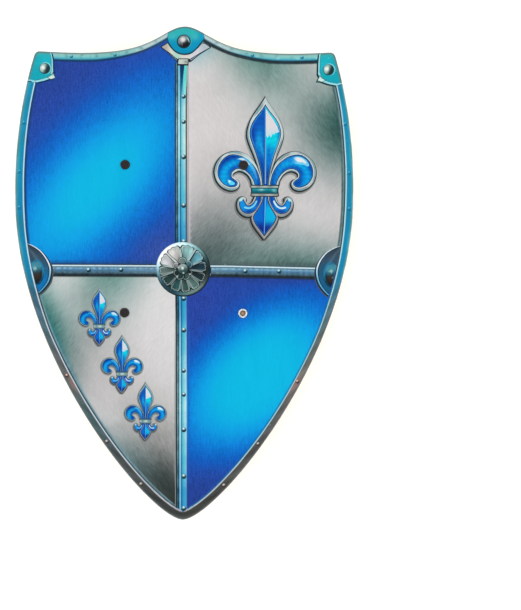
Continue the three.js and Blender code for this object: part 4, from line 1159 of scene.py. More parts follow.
class Nodes:
    def __init__(self, name):
        self.mat = bpy.data.materials.new(name)
        self.mat.use_nodes = True
        self.t = self.mat.node_tree
        for n in list(self.t.nodes):
            self.t.nodes.remove(n)
        self.out = self.t.nodes.new("ShaderNodeOutputMaterial")
        self.bsdf = self.t.nodes.new("ShaderNodeBsdfPrincipled")
        self.t.links.new(self.bsdf.outputs["BSDF"], self.out.inputs["Surface"])
        self.coord = None

    def node(self, kind, **kw):
        n = self.t.nodes.new(kind)
        for k, v in kw.items():
            setattr(n, k, v)
        return n

    def link(self, a, b):
        self.t.links.new(a, b)

    def obj(self):
        if self.coord is None:
            self.coord = self.node("ShaderNodeTexCoord").outputs["Object"]
        return self.coord

    def put(self, socket, value):
        if hasattr(value, "is_linked") or hasattr(value, "links"):
            self.link(value, socket)
        else:
            socket.default_value = value

    def mapping(self, scale, rot=(0, 0, 0), loc=(0, 0, 0), vec=None):
        m = self.node("ShaderNodeMapping")
        self.link(vec or self.obj(), m.inputs["Vector"])
        m.inputs["Scale"].default_value = scale
        m.inputs["Rotation"].default_value = rot
        m.inputs["Location"].default_value = loc
        return m.outputs["Vector"]

    def noise(self, vec, scale=1.0, detail=2.0, rough=0.5, distortion=0.0, color=False):
        n = self.node("ShaderNodeTexNoise")
        self.link(vec, n.inputs["Vector"])
        n.inputs["Scale"].default_value = scale
        n.inputs["Detail"].default_value = detail
        n.inputs["Roughness"].default_value = rough
        n.inputs["Distortion"].default_value = distortion
        return n.outputs["Color" if color else "Fac"]

    def voronoi(self, vec, scale=1.0, feature="F1", out="Distance", rand=1.0):
        n = self.node("ShaderNodeTexVoronoi", feature=feature)
        self.link(vec, n.inputs["Vector"])
        n.inputs["Scale"].default_value = scale
        n.inputs["Randomness"].default_value = rand
        return n.outputs[out]

    def math(self, op, a, b=None, c=None, clamp=False):
        n = self.node("ShaderNodeMath", operation=op, use_clamp=clamp)
        self.put(n.inputs[0], a)
        if b is not None:
            self.put(n.inputs[1], b)
        if c is not None:
            self.put(n.inputs[2], c)
        return n.outputs[0]

    def range(self, v, a, b, c=0.0, d=1.0, smooth_=True):
        n = self.node("ShaderNodeMapRange", interpolation_type="SMOOTHSTEP" if smooth_ else "LINEAR", clamp=True)
        self.put(n.inputs["Value"], v)
        for k, x in zip(("From Min", "From Max", "To Min", "To Max"), (a, b, c, d)):
            self.put(n.inputs[k], x)
        return n.outputs[0]

    def mixc(self, fac, a, b, mode="MIX"):
        n = self.node("ShaderNodeMix", data_type="RGBA", blend_type=mode)
        self.put(n.inputs[0], fac)
        self.put(n.inputs[6], a)
        self.put(n.inputs[7], b)
        return n.outputs[2]

    def vmath(self, op, a, b):
        n = self.node("ShaderNodeVectorMath", operation=op)
        self.put(n.inputs[0], a)
        self.put(n.inputs[1], b)
        return n.outputs[0]

    def scale(self, col, f):
        n = self.node("ShaderNodeVectorMath", operation="SCALE")
        self.put(n.inputs[0], col)
        self.put(n.inputs["Scale"], f)
        return n.outputs[0]

    def ramp(self, fac, stops, interp="LINEAR"):
        n = self.node("ShaderNodeValToRGB")
        self.put(n.inputs[0], fac)
        r = n.color_ramp
        r.interpolation = interp
        while len(r.elements) < len(stops):
            r.elements.new(1.0)
        for e, (p, c) in zip(r.elements, stops):
            e.position = p
            e.color = (*c, 1.0) if len(c) == 3 else c
        return n.outputs[0]

    def attr(self, name, out="Color"):
        n = self.node("ShaderNodeAttribute", attribute_name=name, attribute_type="GEOMETRY")
        return n.outputs[out]

    def split(self, col):
        n = self.node("ShaderNodeSeparateColor")
        self.link(col, n.inputs[0])
        return n.outputs

    def bump(self, height, distance, strength=1.0, normal=None):
        n = self.node("ShaderNodeBump")
        n.inputs["Strength"].default_value = strength
        n.inputs["Distance"].default_value = distance
        self.link(height, n.inputs["Height"])
        if normal is not None:
            self.link(normal, n.inputs["Normal"])
        return n.outputs[0]


def lin3(r, g, b):
    return tuple(float(x) for x in linear(np.array([r, g, b]) / 255.0))


# ================================================================== materials

def print_material():
    """Ink on fine-grained veneer under a thin satin varnish."""
    m = Nodes("printed_wood")
    ink = m.attr("ink")
    zone = m.split(m.attr("zone"))            # red: silver quarters, green: blue quarters, blue: metalwork
    silver, blue, metal = zone[0], zone[1], zone[2]
    mm = m.mapping((1000, 1000, 1000))
    # wood grain showing through the ink: long fine vertical lines and short pores
    grain = m.noise(m.mapping((1500, 42, 60)), 1.0, 4.0, 0.62, 0.25)
    pores = m.noise(m.mapping((2600, 160, 60), loc=(7, 3, 0)), 1.0, 2.0, 0.5)
    figure = m.noise(m.mapping((70, 9, 20), loc=(3, 0, 0)), 1.0, 3.0, 0.55, 0.6)
    g = m.math("SUBTRACT", grain, 0.5)
    p = m.math("SUBTRACT", pores, 0.5)
    f = m.math("SUBTRACT", figure, 0.5)
    # brush marks of the painted steel, slanting one way high and low, the other way between
    warp = m.noise(m.mapping((14, 14, 14), loc=(1.3, 4.1, 0)), 1.0, 2.0, 0.5, 0.0, color=True)
    bent = m.vmath("ADD", m.obj(), m.scale(m.vmath("SUBTRACT", warp, (0.5, 0.5, 0.5)), 0.016))

    def strokes(turn, seed, across, along):
        turned = m.mapping((1, 1, 1), rot=(0, 0, turn), vec=bent)
        return m.noise(m.mapping((along, across, 60), loc=(seed, 2, 0), vec=turned), 1.0, 3.0, 0.6, 0.35)
    sa = strokes(1.05, 3, 560, 150)
    sb = strokes(-0.85, 11, 560, 150)
    ysep = m.node("ShaderNodeSeparateXYZ")
    m.link(m.obj(), ysep.inputs[0])
    wa = m.math("ADD", m.range(ysep.outputs[1], 0.07, 0.12, 0.0, 1.0), m.range(ysep.outputs[1], -0.08, -0.12, 0.0, 1.0))
    b1 = m.math("ADD", m.math("MULTIPLY", sa, wa), m.math("MULTIPLY", sb, m.math("SUBTRACT", 1.0, wa)))
    b2 = m.noise(m.mapping((1100, 60, 60), loc=(11, 2, 0)), 1.0, 3.0, 0.6, 0.2)
    patch = m.noise(m.mapping((34, 34, 30), loc=(5, 9, 0)), 1.0, 4.0, 0.6, 0.4)
    lum = m.node("ShaderNodeRGBToBW")
    m.link(ink, lum.inputs[0])
    dark = m.range(lum.outputs[0], 0.05, 0.36, 1.0, 0.20)
    brush = m.math("ADD", m.math("MULTIPLY", m.math("SUBTRACT", b1, 0.5), 1.5), m.math("MULTIPLY", m.math("SUBTRACT", b2, 0.5), 0.25))
    brush = m.math("MULTIPLY", m.math("MULTIPLY", brush, dark), silver)
    cloud = m.math("MULTIPLY", m.math("MULTIPLY", m.math("SUBTRACT", patch, 0.5), silver), m.range(lum.outputs[0], 0.08, 0.6, 0.75, 0.12))
    # the dark blue ink is coarse: short upright flecks, fading out in the cyan
    fleck = m.noise(m.mapping((760, 150, 60), loc=(8, 5, 2)), 1.0, 3.0, 0.7)
    dots = m.noise(m.mapping((900, 620, 60), loc=(1, 6, 3)), 1.0, 2.0, 0.6)
    deep = m.math("MULTIPLY", m.range(lum.outputs[0], 0.06, 0.30, 1.0, 0.12), blue)
    coarse = m.math("ADD", m.math("MULTIPLY", m.math("SUBTRACT", fleck, 0.5), 1.1), m.math("MULTIPLY", m.math("SUBTRACT", dots, 0.5), 0.8))
    coarse = m.math("MULTIPLY", coarse, deep)
    # fine ink mottling
    speck = m.math("SUBTRACT", m.noise(mm, 1.1, 2.0, 0.6), 0.5)
    total = m.math("MULTIPLY", g, 0.20)
    total = m.math("ADD", total, m.math("MULTIPLY", p, 0.10))
    total = m.math("ADD", total, m.math("MULTIPLY", f, 0.10))
    total = m.math("ADD", total, m.math("MULTIPLY", brush, 0.85))
    total = m.math("ADD", total, coarse)
    total = m.math("ADD", total, m.math("MULTIPLY", cloud, 0.9))
    total = m.math("ADD", total, m.math("MULTIPLY", m.math("MULTIPLY", speck, m.math("ADD", metal, 0.35)), 0.16))
    gain = m.math("ADD", total, 1.0)
    col = m.scale(ink, gain)
    # worn glints and grime on the painted metalwork
    worn = m.range(m.noise(m.mapping((420, 420, 300), loc=(2, 8, 1)), 1.0, 3.0, 0.7), 0.66, 0.80, 0.0, 0.30)
    col = m.mixc(m.math("MULTIPLY", worn, metal), col, (0.62, 0.80, 0.84, 1))
    grime = m.range(m.noise(m.mapping((300, 300, 300), loc=(9, 1, 4)), 1.0, 4.0, 0.65), 0.58, 0.74, 0.0, 0.45)
    col = m.mixc(m.math("MULTIPLY", grime, metal), col, m.scale(col, 0.45))
    m.link(col, m.bsdf.inputs["Base Color"])
    rough = m.math("ADD", m.math("MULTIPLY", m.math("ADD", g, f), 0.12), 0.35)
    m.link(rough, m.bsdf.inputs["Roughness"])
    m.bsdf.inputs["Specular IOR Level"].default_value = 0.12
    h = m.math("ADD", m.math("MULTIPLY", grain, 0.7), m.math("MULTIPLY", pores, 0.5))
    m.link(m.bump(h, 0.00004, 0.5), m.bsdf.inputs["Normal"])
    return m.mat


def ply_material():
    """Pale birch: quiet vertical figure on the back, cross-laid plies with glue lines on the edge."""
    m = Nodes("bare_plywood")
    edge = m.attr("edge", "Fac")
    sep = m.node("ShaderNodeSeparateXYZ")
    m.link(m.obj(), sep.inputs[0])
    fine = m.noise(m.mapping((1300, 36, 60)), 1.0, 4.0, 0.6, 0.3)
    figure = m.noise(m.mapping((36, 5.0, 10), loc=(2, 0, 0)), 1.0, 3.0, 0.5, 1.1)
    warm = m.noise(m.mapping((11, 4.5, 10), loc=(7, 4, 0)), 1.0, 2.0, 0.5, 0.5)
    rays = m.noise(m.mapping((500, 260, 60), loc=(4, 1, 0)), 1.0, 2.0, 0.6)
    col = m.ramp(figure, [(0.28, lin3(216, 186, 140)), (0.45, lin3(231, 206, 164)), (0.60, lin3(236, 213, 174)), (0.78, lin3(226, 198, 154))])
    col = m.mixc(m.range(warm, 0.42, 0.70, 0.0, 0.55), col, (*lin3(235, 196, 146), 1))
    col = m.mixc(m.range(warm, 0.52, 0.30, 0.0, 0.45), col, (*lin3(226, 212, 172), 1))
    col = m.scale(col, m.math("ADD", m.math("MULTIPLY", m.math("SUBTRACT", fine, 0.5), 0.16), 0.97))
    fleck = m.range(rays, 0.70, 0.80, 0.0, 0.22)
    col = m.mixc(fleck, col, (*lin3(190, 150, 104), 1))
    # the edge: five plies, grain along or across by turns
    z = m.math("MULTIPLY", m.math("SUBTRACT", sep.outputs[2], 0.030), 1000.0)       # mm above the back
    zw = m.math("ADD", z, m.math("MULTIPLY", m.math("SUBTRACT", m.noise(m.mapping((120, 120, 60)), 1.0, 2.0, 0.5), 0.5), 0.16))
    n = m.math("DIVIDE", m.math("SUBTRACT", zw, 0.0), 1.2)
    band = m.math("FRACT", n)
    odd = m.math("MODULO", m.math("FLOOR", n), 2.0)
    glue = m.math("MULTIPLY", m.range(m.math("ABSOLUTE", m.math("SUBTRACT", band, 0.5)), 0.42, 0.5, 0.0, 1.0), 0.75)
    along = m.noise(m.mapping((60, 60, 9000)), 1.0, 3.0, 0.6)
    across = m.noise(m.mapping((2600, 2600, 1500)), 1.0, 3.0, 0.6)
    light = m.mixc(along, (*lin3(214, 180, 130), 1), (*lin3(236, 208, 164), 1))
    endg = m.mixc(across, (*lin3(138, 98, 60), 1), (*lin3(200, 158, 108), 1))
    ply = m.mixc(odd, light, endg)
    ply = m.mixc(glue, ply, (*lin3(96, 62, 38), 1))
    # handling and a little overspray of the print near the front
    ply = m.mixc(m.range(zw, 4.9, 5.4, 0.0, 0.5), ply, (*lin3(96, 110, 112), 1))
    col = m.mixc(edge, col, ply)
    m.link(col, m.bsdf.inputs["Base Color"])
    m.link(m.math("ADD", m.math("MULTIPLY", fine, 0.16), 0.52), m.bsdf.inputs["Roughness"])
    m.bsdf.inputs["Specular IOR Level"].default_value = 0.3
    h = m.mixc(edge, m.math("ADD", fine, m.math("MULTIPLY", rays, 0.3)), across)
    m.link(m.bump(h, 0.00006, 0.6), m.bsdf.inputs["Normal"])
    return m.mat


def leather_material():
    """Black finished strap leather, fine grain, edges burnished, crest a little rubbed."""
    m = Nodes("black_leather")
    worn = m.attr("worn", "Fac")
    cells = m.voronoi(m.mapping((1500, 1150, 1500)), 1.0, "DISTANCE_TO_EDGE")
    cells2 = m.voronoi(m.mapping((3400, 3000, 3400), loc=(3, 1, 2)), 1.0, "DISTANCE_TO_EDGE")
    soft = m.noise(m.mapping((260, 120, 260)), 1.0, 4.0, 0.6, 0.3)
    broad = m.noise(m.mapping((60, 24, 60), loc=(1, 5, 2)), 1.0, 2.0, 0.5)
    pits = m.range(cells, 0.0, 0.16, 0.0, 1.0)
    pits2 = m.range(cells2, 0.0, 0.20, 0.0, 1.0)
    col = m.ramp(soft, [(0.30, lin3(17, 19, 20)), (0.52, lin3(26, 28, 27)), (0.75, lin3(38, 39, 35))])
    col = m.mixc(m.range(broad, 0.35, 0.75, 0.0, 0.5), col, (*lin3(40, 42, 36), 1))
    rub = m.math("MULTIPLY", worn, m.range(soft, 0.36, 0.70, 0.15, 1.0))
    col = m.mixc(m.math("MULTIPLY", rub, 0.5), col, (*lin3(74, 68, 60), 1))
    col = m.mixc(m.math("MULTIPLY", m.math("SUBTRACT", 1.0, pits), 0.5), col, (*lin3(9, 10, 11), 1))
    m.link(col, m.bsdf.inputs["Base Color"])
    m.link(m.math("ADD", m.math("MULTIPLY", soft, 0.22), m.math("ADD", 0.36, m.math("MULTIPLY", rub, 0.16))), m.bsdf.inputs["Roughness"])
    m.bsdf.inputs["Specular IOR Level"].default_value = 0.45
    m.bsdf.inputs["Sheen Weight"].default_value = 0.04
    m.bsdf.inputs["Sheen Roughness"].default_value = 0.5
    h = m.math("ADD", m.math("MULTIPLY", pits, 0.7), m.math("ADD", m.math("MULTIPLY", pits2, 0.3), m.math("MULTIPLY", soft, 0.7)))
    m.link(m.bump(h, 0.00012, 0.6), m.bsdf.inputs["Normal"])
    return m.mat


def rivet_material():
    """Nickel on the heads; the set ends carry the attribute 'patina' towards dark brown."""
    m = Nodes("steel_rivet")
    patina = m.attr("patina", "Fac")
    n1 = m.noise(m.mapping((700, 700, 700)), 1.0, 4.0, 0.6)
    n2 = m.noise(m.mapping((2600, 2600, 2600), loc=(4, 2, 1)), 1.0, 3.0, 0.65)
    scr = m.noise(m.mapping((300, 5200, 300), rot=(0, 0, 0.7)), 1.0, 2.0, 0.5)
    nickel = m.ramp(n1, [(0.30, lin3(158, 163, 166)), (0.55, lin3(200, 205, 208)), (0.80, lin3(224, 229, 232))])
    nickel = m.mixc(m.range(scr, 0.60, 0.70, 0.0, 0.35), nickel, (*lin3(120, 118, 108), 1))
    brown = m.ramp(n2, [(0.28, lin3(8, 7, 8)), (0.50, lin3(20, 16, 16)), (0.66, lin3(52, 40, 37)), (0.80, lin3(126, 106, 96))])
    tan = m.ramp(n2, [(0.30, lin3(112, 84, 60)), (0.52, lin3(164, 128, 94)), (0.72, lin3(196, 160, 122))])
    col = m.mixc(m.range(patina, 0.05, 0.5, 0.0, 1.0), nickel, tan)
    col = m.mixc(m.range(patina, 0.5, 0.9, 0.0, 1.0), col, brown)
    m.link(col, m.bsdf.inputs["Base Color"])
    m.link(m.math("SUBTRACT", 1.0, m.math("MULTIPLY", patina, 0.55)), m.bsdf.inputs["Metallic"])
    r = m.math("ADD", m.math("MULTIPLY", n1, 0.18), m.math("ADD", 0.18, m.math("MULTIPLY", patina, 0.30)))
    m.link(r, m.bsdf.inputs["Roughness"])
    m.link(m.bump(m.math("ADD", n1, m.math("MULTIPLY", m.math("MULTIPLY", n2, patina), 1.5)), 0.00010, 0.5), m.bsdf.inputs["Normal"])
    return m.mat


# ================================================================== pieces

LIGHT_GAIN = 1.36                    # what a white surface shows; the inks are divided by it


def printed_face(mat):
    layers = draw()
    loops, lines, points = [], [], []
    out = layers[0].poly
    for l in layers:
        loops.append(l.poly)
        for k in l.lines:
            (loops if l.name == "rim" else lines).append(k)
        if l.extra is not None:
            points.append(l.extra)
        if l.step:
            points.append(grid_points(l.poly, l.step))
    for d in (0.12, 0.35, 0.7):
        loops.append(grow(out, -d))
    holes = [hole_loop(c) for c in RIVETS]
    V, T = triangulate(loops + holes, lines, np.vstack(points))
    C = V[T].mean(1)
    keep = inside(out, C)
    for h in holes:
        keep &= ~inside(h, C)
    T, C = T[keep], C[keep]
    top = np.zeros(len(T), int)
    for i, l in enumerate(layers):
        lo, hi = l.poly.min(0), l.poly.max(0)
        k = np.where((C[:, 0] > lo[0]) & (C[:, 0] < hi[0]) & (C[:, 1] > lo[1]) & (C[:, 1] < hi[1]))[0]
        k = k[inside(l.poly, C[k])]
        top[k] = i
    corners = V[T] + (C[:, None, :] - V[T]) * 0.04
    ink = np.zeros((len(T), 3, 3))
    zone = np.zeros((len(T), 3))
    for i, l in enumerate(layers):
        k = np.where(top == i)[0]
        if not len(k):
            continue
        ink[k] = np.clip(l.color(corners[k].reshape(-1, 2)), 0, 1).reshape(-1, 3, 3)
        if l.name in ("field_ur", "field_ll"):
            zone[k, 0] = 1
        elif l.name in ("field_ul", "field_lr"):
            zone[k, 1] = 1
        elif l.name in ("rim", "rim_over"):
            cc = C[k]
            x, xt = rim_x(cc)
            on = np.where(is_top(cc), xt < 6.4, x < np.where(cc[:, 1] > 221, 6.9, 6.5))
            quarter = (cc[:, 0] < 0) == (cc[:, 1] > 221)
            zone[k, 2] = on
            zone[k, 1] = ~on & quarter
            zone[k, 0] = ~on & ~quarter
        elif l.name[:4] in ("vbar", "hbar", "plat", "half", "bowl", "boss", "bloc"):
            zone[k, 2] = 1
    ink = linear(ink) / LIGHT_GAIN
    used = np.unique(T)
    remap = -np.ones(len(V), int)
    remap[used] = np.arange(len(used))
    V, T = V[used], remap[T]
    d = edge_distance(V)
    rims = boundary_loops(T)
    outer = max(rims, key=len)
    d[outer] = 0
    z = FRONT_Z - EASE * (1 - np.sqrt(1 - (1 - np.minimum(d, EASE) / EASE) ** 2))
    xy = board_xy(V)
    verts = [(x, y, zz * MM) for (x, y), zz in zip(xy, z)]
    faces = [tuple(t) for t in T]
    n = len(verts)
    # walls and underside
    low = {}
    for L in rims:
        for i in L:
            low[i] = len(verts)
            verts.append((xy[i][0], xy[i][1], VENEER_Z * MM))
    for L in rims:
        m = len(L)
        for a in range(m):
            i, j = L[a], L[(a + 1) % m]
            faces.append((j, i, low[i], low[j]))
    BV, BT = triangulate([V[L] for L in rims])
    bc = BV[BT].mean(1)
    k = inside(V[outer], bc)
    for L in rims:
        if L is not outer:
            k &= ~inside(V[L], bc)
    BT = BT[k]
    where = {(round(V[i][0], 3), round(V[i][1], 3)): low[i] for L in rims for i in L}
    ids = [where.get((round(x, 3), round(y, 3)), -1) for x, y in BV]
    for t in BT:
        f = [ids[i] for i in t][::-1]
        if min(f) >= 0 and len(set(f)) == 3:
            faces.append(tuple(f))
    me = bpy.data.meshes.new("board_face")
    me.from_pydata(verts, [], faces)
    me.update()
    me.shade_smooth()
    ob = bpy.data.objects.new("board_face", me)
    bpy.context.scene.collection.objects.link(ob)
    nt = len(T)
    col = me.color_attributes.new("ink", "FLOAT_COLOR", "CORNER")
    zn = me.color_attributes.new("zone", "FLOAT_COLOR", "CORNER")
    nl = len(me.loops)
    data = np.ones((nl, 4), np.float32)
    data[:, :3] = 0.35
    data[:nt * 3, :3] = ink.reshape(-1, 3)
    data[nt * 3:, :3] = linear(np.array([96, 112, 116]) / 255.0)
    col.data.foreach_set("color", data.ravel())
    zd = np.zeros((nl, 4), np.float32)
    zd[:, 3] = 1
    zd[:nt * 3, :3] = np.repeat(zone, 3, axis=0)
    zn.data.foreach_set("color", zd.ravel())
    # one flat map of the face, with the hidden underside and the wall set beside it
    uv = me.uv_layers.new(name="OFBake")
    vi = np.empty(nl, np.int32)
    me.loops.foreach_get("vertex_index", vi)
    co = np.array(verts)[:, :2]
    U = np.empty((nl, 2), np.float32)
    U[:, 0] = (co[vi, 0] + 0.151) / 0.446 + 0.004
    U[:, 1] = (co[vi, 1] + 0.2195) / 0.446 + 0.008
    wall0 = nt * 3
    wall1 = wall0 + sum(len(L) for L in rims) * 4
    s = np.linspace(0, 1, (wall1 - wall0) // 4 + 1)
    for q in range((wall1 - wall0) // 4):
        b = wall0 + q * 4
        U[b:b + 4] = [(0.70 + 0.28 * s[q + 1], 0.42), (0.70 + 0.28 * s[q], 0.42), (0.70 + 0.28 * s[q], 0.40), (0.70 + 0.28 * s[q + 1], 0.40)]
    U[wall1:, 0] = (co[vi[wall1:], 0] + 0.151) / 0.446 * 0.4 + 0.70
    U[wall1:, 1] = (co[vi[wall1:], 1] + 0.2195) / 0.446 * 0.4
    uv.data.foreach_set("uv", U.ravel())
    me.materials.append(mat)
    print("board_face", len(verts), "points", len(faces), "faces", len(layers), "layers")
    return ob, V[outer]


def ply_core(mat, outer):
    """The plywood under the print: eased back edge, faint grooves at the glue lines."""
    O = outer if area(outer) > 0 else outer[::-1]
    n = len(O)
    levels = [(30.0, EASE), (30.06, 0.44), (30.2, 0.24), (30.42, 0.08), (30.7, 0.0)]
    for k in (31.2, 32.4, 33.6, 34.8):
        levels += [(k - 0.07, 0.0), (k, 0.05), (k + 0.07, 0.0)]
    levels.append((VENEER_Z, 0.0))
    nx = np.roll(O, -1, axis=0) - np.roll(O, 1, axis=0)
    nrm = np.stack([nx[:, 1], -nx[:, 0]], -1) / np.hypot(*nx.T)[:, None]
    verts, faces, tag = [], [], []
    for z, inset in levels:
        for x, y in board_xy(O - nrm * inset):
            verts.append((x, y, z * MM))
    for k in range(len(levels) - 1):
        for i in range(n):
            j = (i + 1) % n
            faces.append((k * n + i, k * n + j, (k + 1) * n + j, (k + 1) * n + i))
            tag.append(1.0 if levels[k][0] > 30.15 else 0.35)
    holes = [hole_loop(c) for c in RIVETS]
    hb = []
    for z in (BACK_Z, VENEER_Z):
        row = []
        for h in holes:
            row.append(len(verts))
            verts += [(x, y, z * MM) for x, y in board_xy(h)]
        hb.append(row)
    m = len(holes[0])
    for a, b in zip(*hb):
        for i in range(m):
            j = (i + 1) % m
            faces.append((a + j, a + i, b + i, b + j))
            tag.append(0.7)
    for level, z, flip in ((0, BACK_Z, True), (len(levels) - 1, VENEER_Z, False)):
        rim = O - nrm * levels[level][1]
        pts = grid_points(rim, 14.0) if level == 0 else None
        V, T = triangulate([rim] + holes, (), pts)
        c = V[T].mean(1)
        k = inside(rim, c)
        for h in holes:
            k &= ~inside(h, c)
        T = T[k]
        where = {(round(x, 3), round(y, 3)): level * n + i for i, (x, y) in enumerate(rim)}
        for q, h in enumerate(holes):
            for i, (x, y) in enumerate(h):
                where[(round(x, 3), round(y, 3))] = hb[0 if level == 0 else 1][q] + i
        ids = []
        for x, y in V:
            key = (round(x, 3), round(y, 3))
            if key not in where:
                X = board_xy(np.array([x, y]))
                where[key] = len(verts)
                verts.append((X[0], X[1], z * MM))
            ids.append(where[key])
        for t in T:
            f = tuple(ids[i] for i in (t[::-1] if flip else t))
            if len(set(f)) == 3:
                faces.append(f)
                tag.append(0.0)
    me = bpy.data.meshes.new("board_core")
    me.from_pydata(verts, [], faces)
    me.update()
    me.shade_smooth()
    at = me.attributes.new("edge", "FLOAT", "CORNER")
    vals = np.repeat(np.array(tag, np.float32), [len(f) for f in faces])
    at.data.foreach_set("value", vals)
    ob = bpy.data.objects.new("board_core", me)
    bpy.context.scene.collection.objects.link(ob)
    me.materials.append(mat)
    ob.modifiers.new("edges", "EDGE_SPLIT").split_angle = 0.9
    print("board_core", len(verts), "points", len(faces), "faces")
    return ob


def strap(name, x0, mat, seed):
    """A leather band bowed off the board, half-round ends, soft edges, pressed in under its rivets."""
    HALF_W, HALF_L, THICK = 10.0, 78.2, 2.4
    rng = np.random.default_rng(seed)
    ph = rng.uniform(0, 2 * pi, 8)

    def mid_z(s):
        a = np.abs(s)
        t = np.clip((59.7 - a) / (59.7 - 12.0), 0, 1)
        bow = 27.6 * (1 - np.cos(pi * t)) / 2
        return BACK_Z - THICK / 2 - bow

    def side_wave(s):
        return 0.10 * np.sin(s / 11.0 + ph[0]) + 0.06 * np.sin(s / 5.3 + ph[1])

    # plan outline of the band, in (x, s)
    arc = np.linspace(0, pi, 25)
    straight = np.linspace(-(HALF_L - HALF_W), HALF_L - HALF_W, 110)
    right = np.stack([HALF_W + 0 * straight, straight], -1)
    cap_t = np.stack([HALF_W * np.cos(arc), HALF_L - HALF_W + HALF_W * np.sin(arc)], -1)[1:-1]
    left = np.stack([-HALF_W + 0 * straight, -straight], -1)
    cap_b = np.stack([-HALF_W * np.cos(arc), -(HALF_L - HALF_W) - HALF_W * np.sin(arc)], -1)[1:-1]
    P = np.vstack([right, cap_t, left, cap_b])
    n = len(P)
    g = np.roll(P, -1, axis=0) - np.roll(P, 1, axis=0)
    nrm = np.stack([g[:, 1], -g[:, 0]], -1) / np.hypot(*g.T)[:, None]
    # section round the edge: from the outer face (away from the board) over to the board side
    ring = [(1.9, -1.20), (1.15, -1.19), (0.62, -1.10), (0.28, -0.92), (0.08, -0.62), (0.0, -0.25), (0.0, 0.25), (0.07, 0.60), (0.24, 0.90), (0.55, 1.10), (1.05, 1.19), (1.9, 1.20)]
    V3, faces, worn = [], [], []

    def place(x, s, h):
        """(x across, s along, h through the thickness, minus = away from the board)"""
        e = 0.25
        dz = (mid_z(s + e) - mid_z(s - e)) / (2 * e)
        L = np.sqrt(1 + dz * dz)
        lift = mid_z(s)
        # the leather cups a little across its width where it is free
        free = np.clip((59.7 - np.abs(s)) / 20.0, 0, 1)
        crest = np.clip(1 - (np.abs(s) - 9) / 9.0, 0, 1)
        cup = 0.28 * free * (1 - crest) * (x / 10.0) ** 2
        # shallow press marks round both rivets, on the face away from the board
        press = 0
        for q in (-65.7, 65.7):
            r = np.hypot(x, s - q)
            press = press + 0.30 * np.clip(1 - (r - 4.2) / 2.6, 0, 1) ** 2 * (h < 0)
        # soft ripples on the inner side of each bend
        bend = np.exp(-((np.abs(s) - 50.0) / 7.0) ** 2) * (h > 0) + np.exp(-((np.abs(s) - 20.0) / 7.0) ** 2) * (h > 0)
        rip = 0.07 * bend * np.sin(s * 2.6 + 0.5 * np.sin(x * 0.5 + ph[2]) + ph[3])
        hh = h + cup + press + rip
        y = s - hh * dz / L
        z = lift + hh / L
        return x, y, z

    def add(xs, h):
        i0 = len(V3)
        x, s = xs[:, 0], xs[:, 1]
        w = side_wave(s) * (np.abs(s) < HALF_L - 14) * np.sign(x) * (np.abs(x) / HALF_W)
        X, Y, Z = place(x, s, h)
        free = np.clip((57 - np.abs(s)) / 14.0, 0, 1)
        X = X + w * free * 0.6
        for a, b, c, sx in zip(X, Y, Z, s):
            V3.append(((x0 + a) * MM, (MID_Y + b) * MM, c * MM))
        edge_w = 0.55 if abs(h) < 1.15 else 0.15
        for k in s:
            crest = float(np.clip(1 - (abs(k) - 11) / 12.0, 0, 1)) * (1.0 if h < 0 else 0.0)
            worn.append(min(1.0, 0.75 * crest + edge_w * 0.4))
        return i0

    rings_ = []
    for inset, h in ring:
        rings_.append(add(P - nrm * inset, h))
    for a, b in zip(rings_[:-1], rings_[1:]):
        for i in range(n):
            j = (i + 1) % n
            faces.append((a + i, a + j, b + j, b + i))
    holes = [np.stack([2.45 * np.cos(t), q + 2.45 * np.sin(t)], -1) for q in (-65.7, 65.7) for t in [np.linspace(0, 2 * pi, 20, endpoint=False)]]
    hole_base = []
    for h, base in ((-1.2, rings_[0]), (1.2, rings_[-1])):
        inner = P - nrm * 1.9
        extra = []
        for s in np.arange(-74, 74.1, 0.9):
            for x in (-6, -3.6, -1.2, 1.2, 3.6, 6):
                extra.append((x, s))
        extra = np.array(extra)
        extra = extra[inside(grow(inner, -0.7), extra)]
        for q in (-65.7, 65.7):
            extra = extra[np.hypot(extra[:, 0], extra[:, 1] - q) > 7.6]
            for r in (3.3, 4.2, 5.0, 5.8, 6.8):
                c = circle((0, q), r, 24)
                extra = np.vstack([extra, c[inside(grow(inner, -0.4), c)]])
        V, T = triangulate([inner] + holes, (), extra)
        c = V[T].mean(1)
        k = inside(inner, c)
        for hl in holes:
            k &= ~inside(hl, c)
        T = T[k]
        where = {(round(x, 3), round(y, 3)): base + i for i, (x, y) in enumerate(inner)}
        new = [i for i, (x, y) in enumerate(V) if (round(x, 3), round(y, 3)) not in where]
        i0 = add(V[new], h)
        ids = {}
        for q, i in enumerate(new):
            ids[i] = i0 + q
        for i, (x, y) in enumerate(V):
            if i not in ids:
                ids[i] = where[(round(x, 3), round(y, 3))]
        for t in T:
            f = tuple(ids[int(i)] for i in (t if h > 0 else t[::-1]))
            if len(set(f)) == 3:
                faces.append(f)
        hole_base.append([[min((i for i in range(len(V))), key=lambda i: hypot(V[i][0] - px, V[i][1] - py)) for px, py in hl] for hl in holes])
        hole_base[-1] = [[ids[i] for i in L] for L in hole_base[-1]]
    for a, b in zip(*hole_base):
        m = len(a)
        for i in range(m):
            j = (i + 1) % m
            faces.append((a[i], a[j], b[j], b[i])[::-1])
    ob = mesh_object(name, V3, faces)
    at = ob.data.attributes.new("worn", "FLOAT", "POINT")
    at.data.foreach_set("value", np.array(worn, np.float32))
    ob.data.materials.append(mat)
    print(name, len(V3), "points", len(faces), "faces")
    return ob


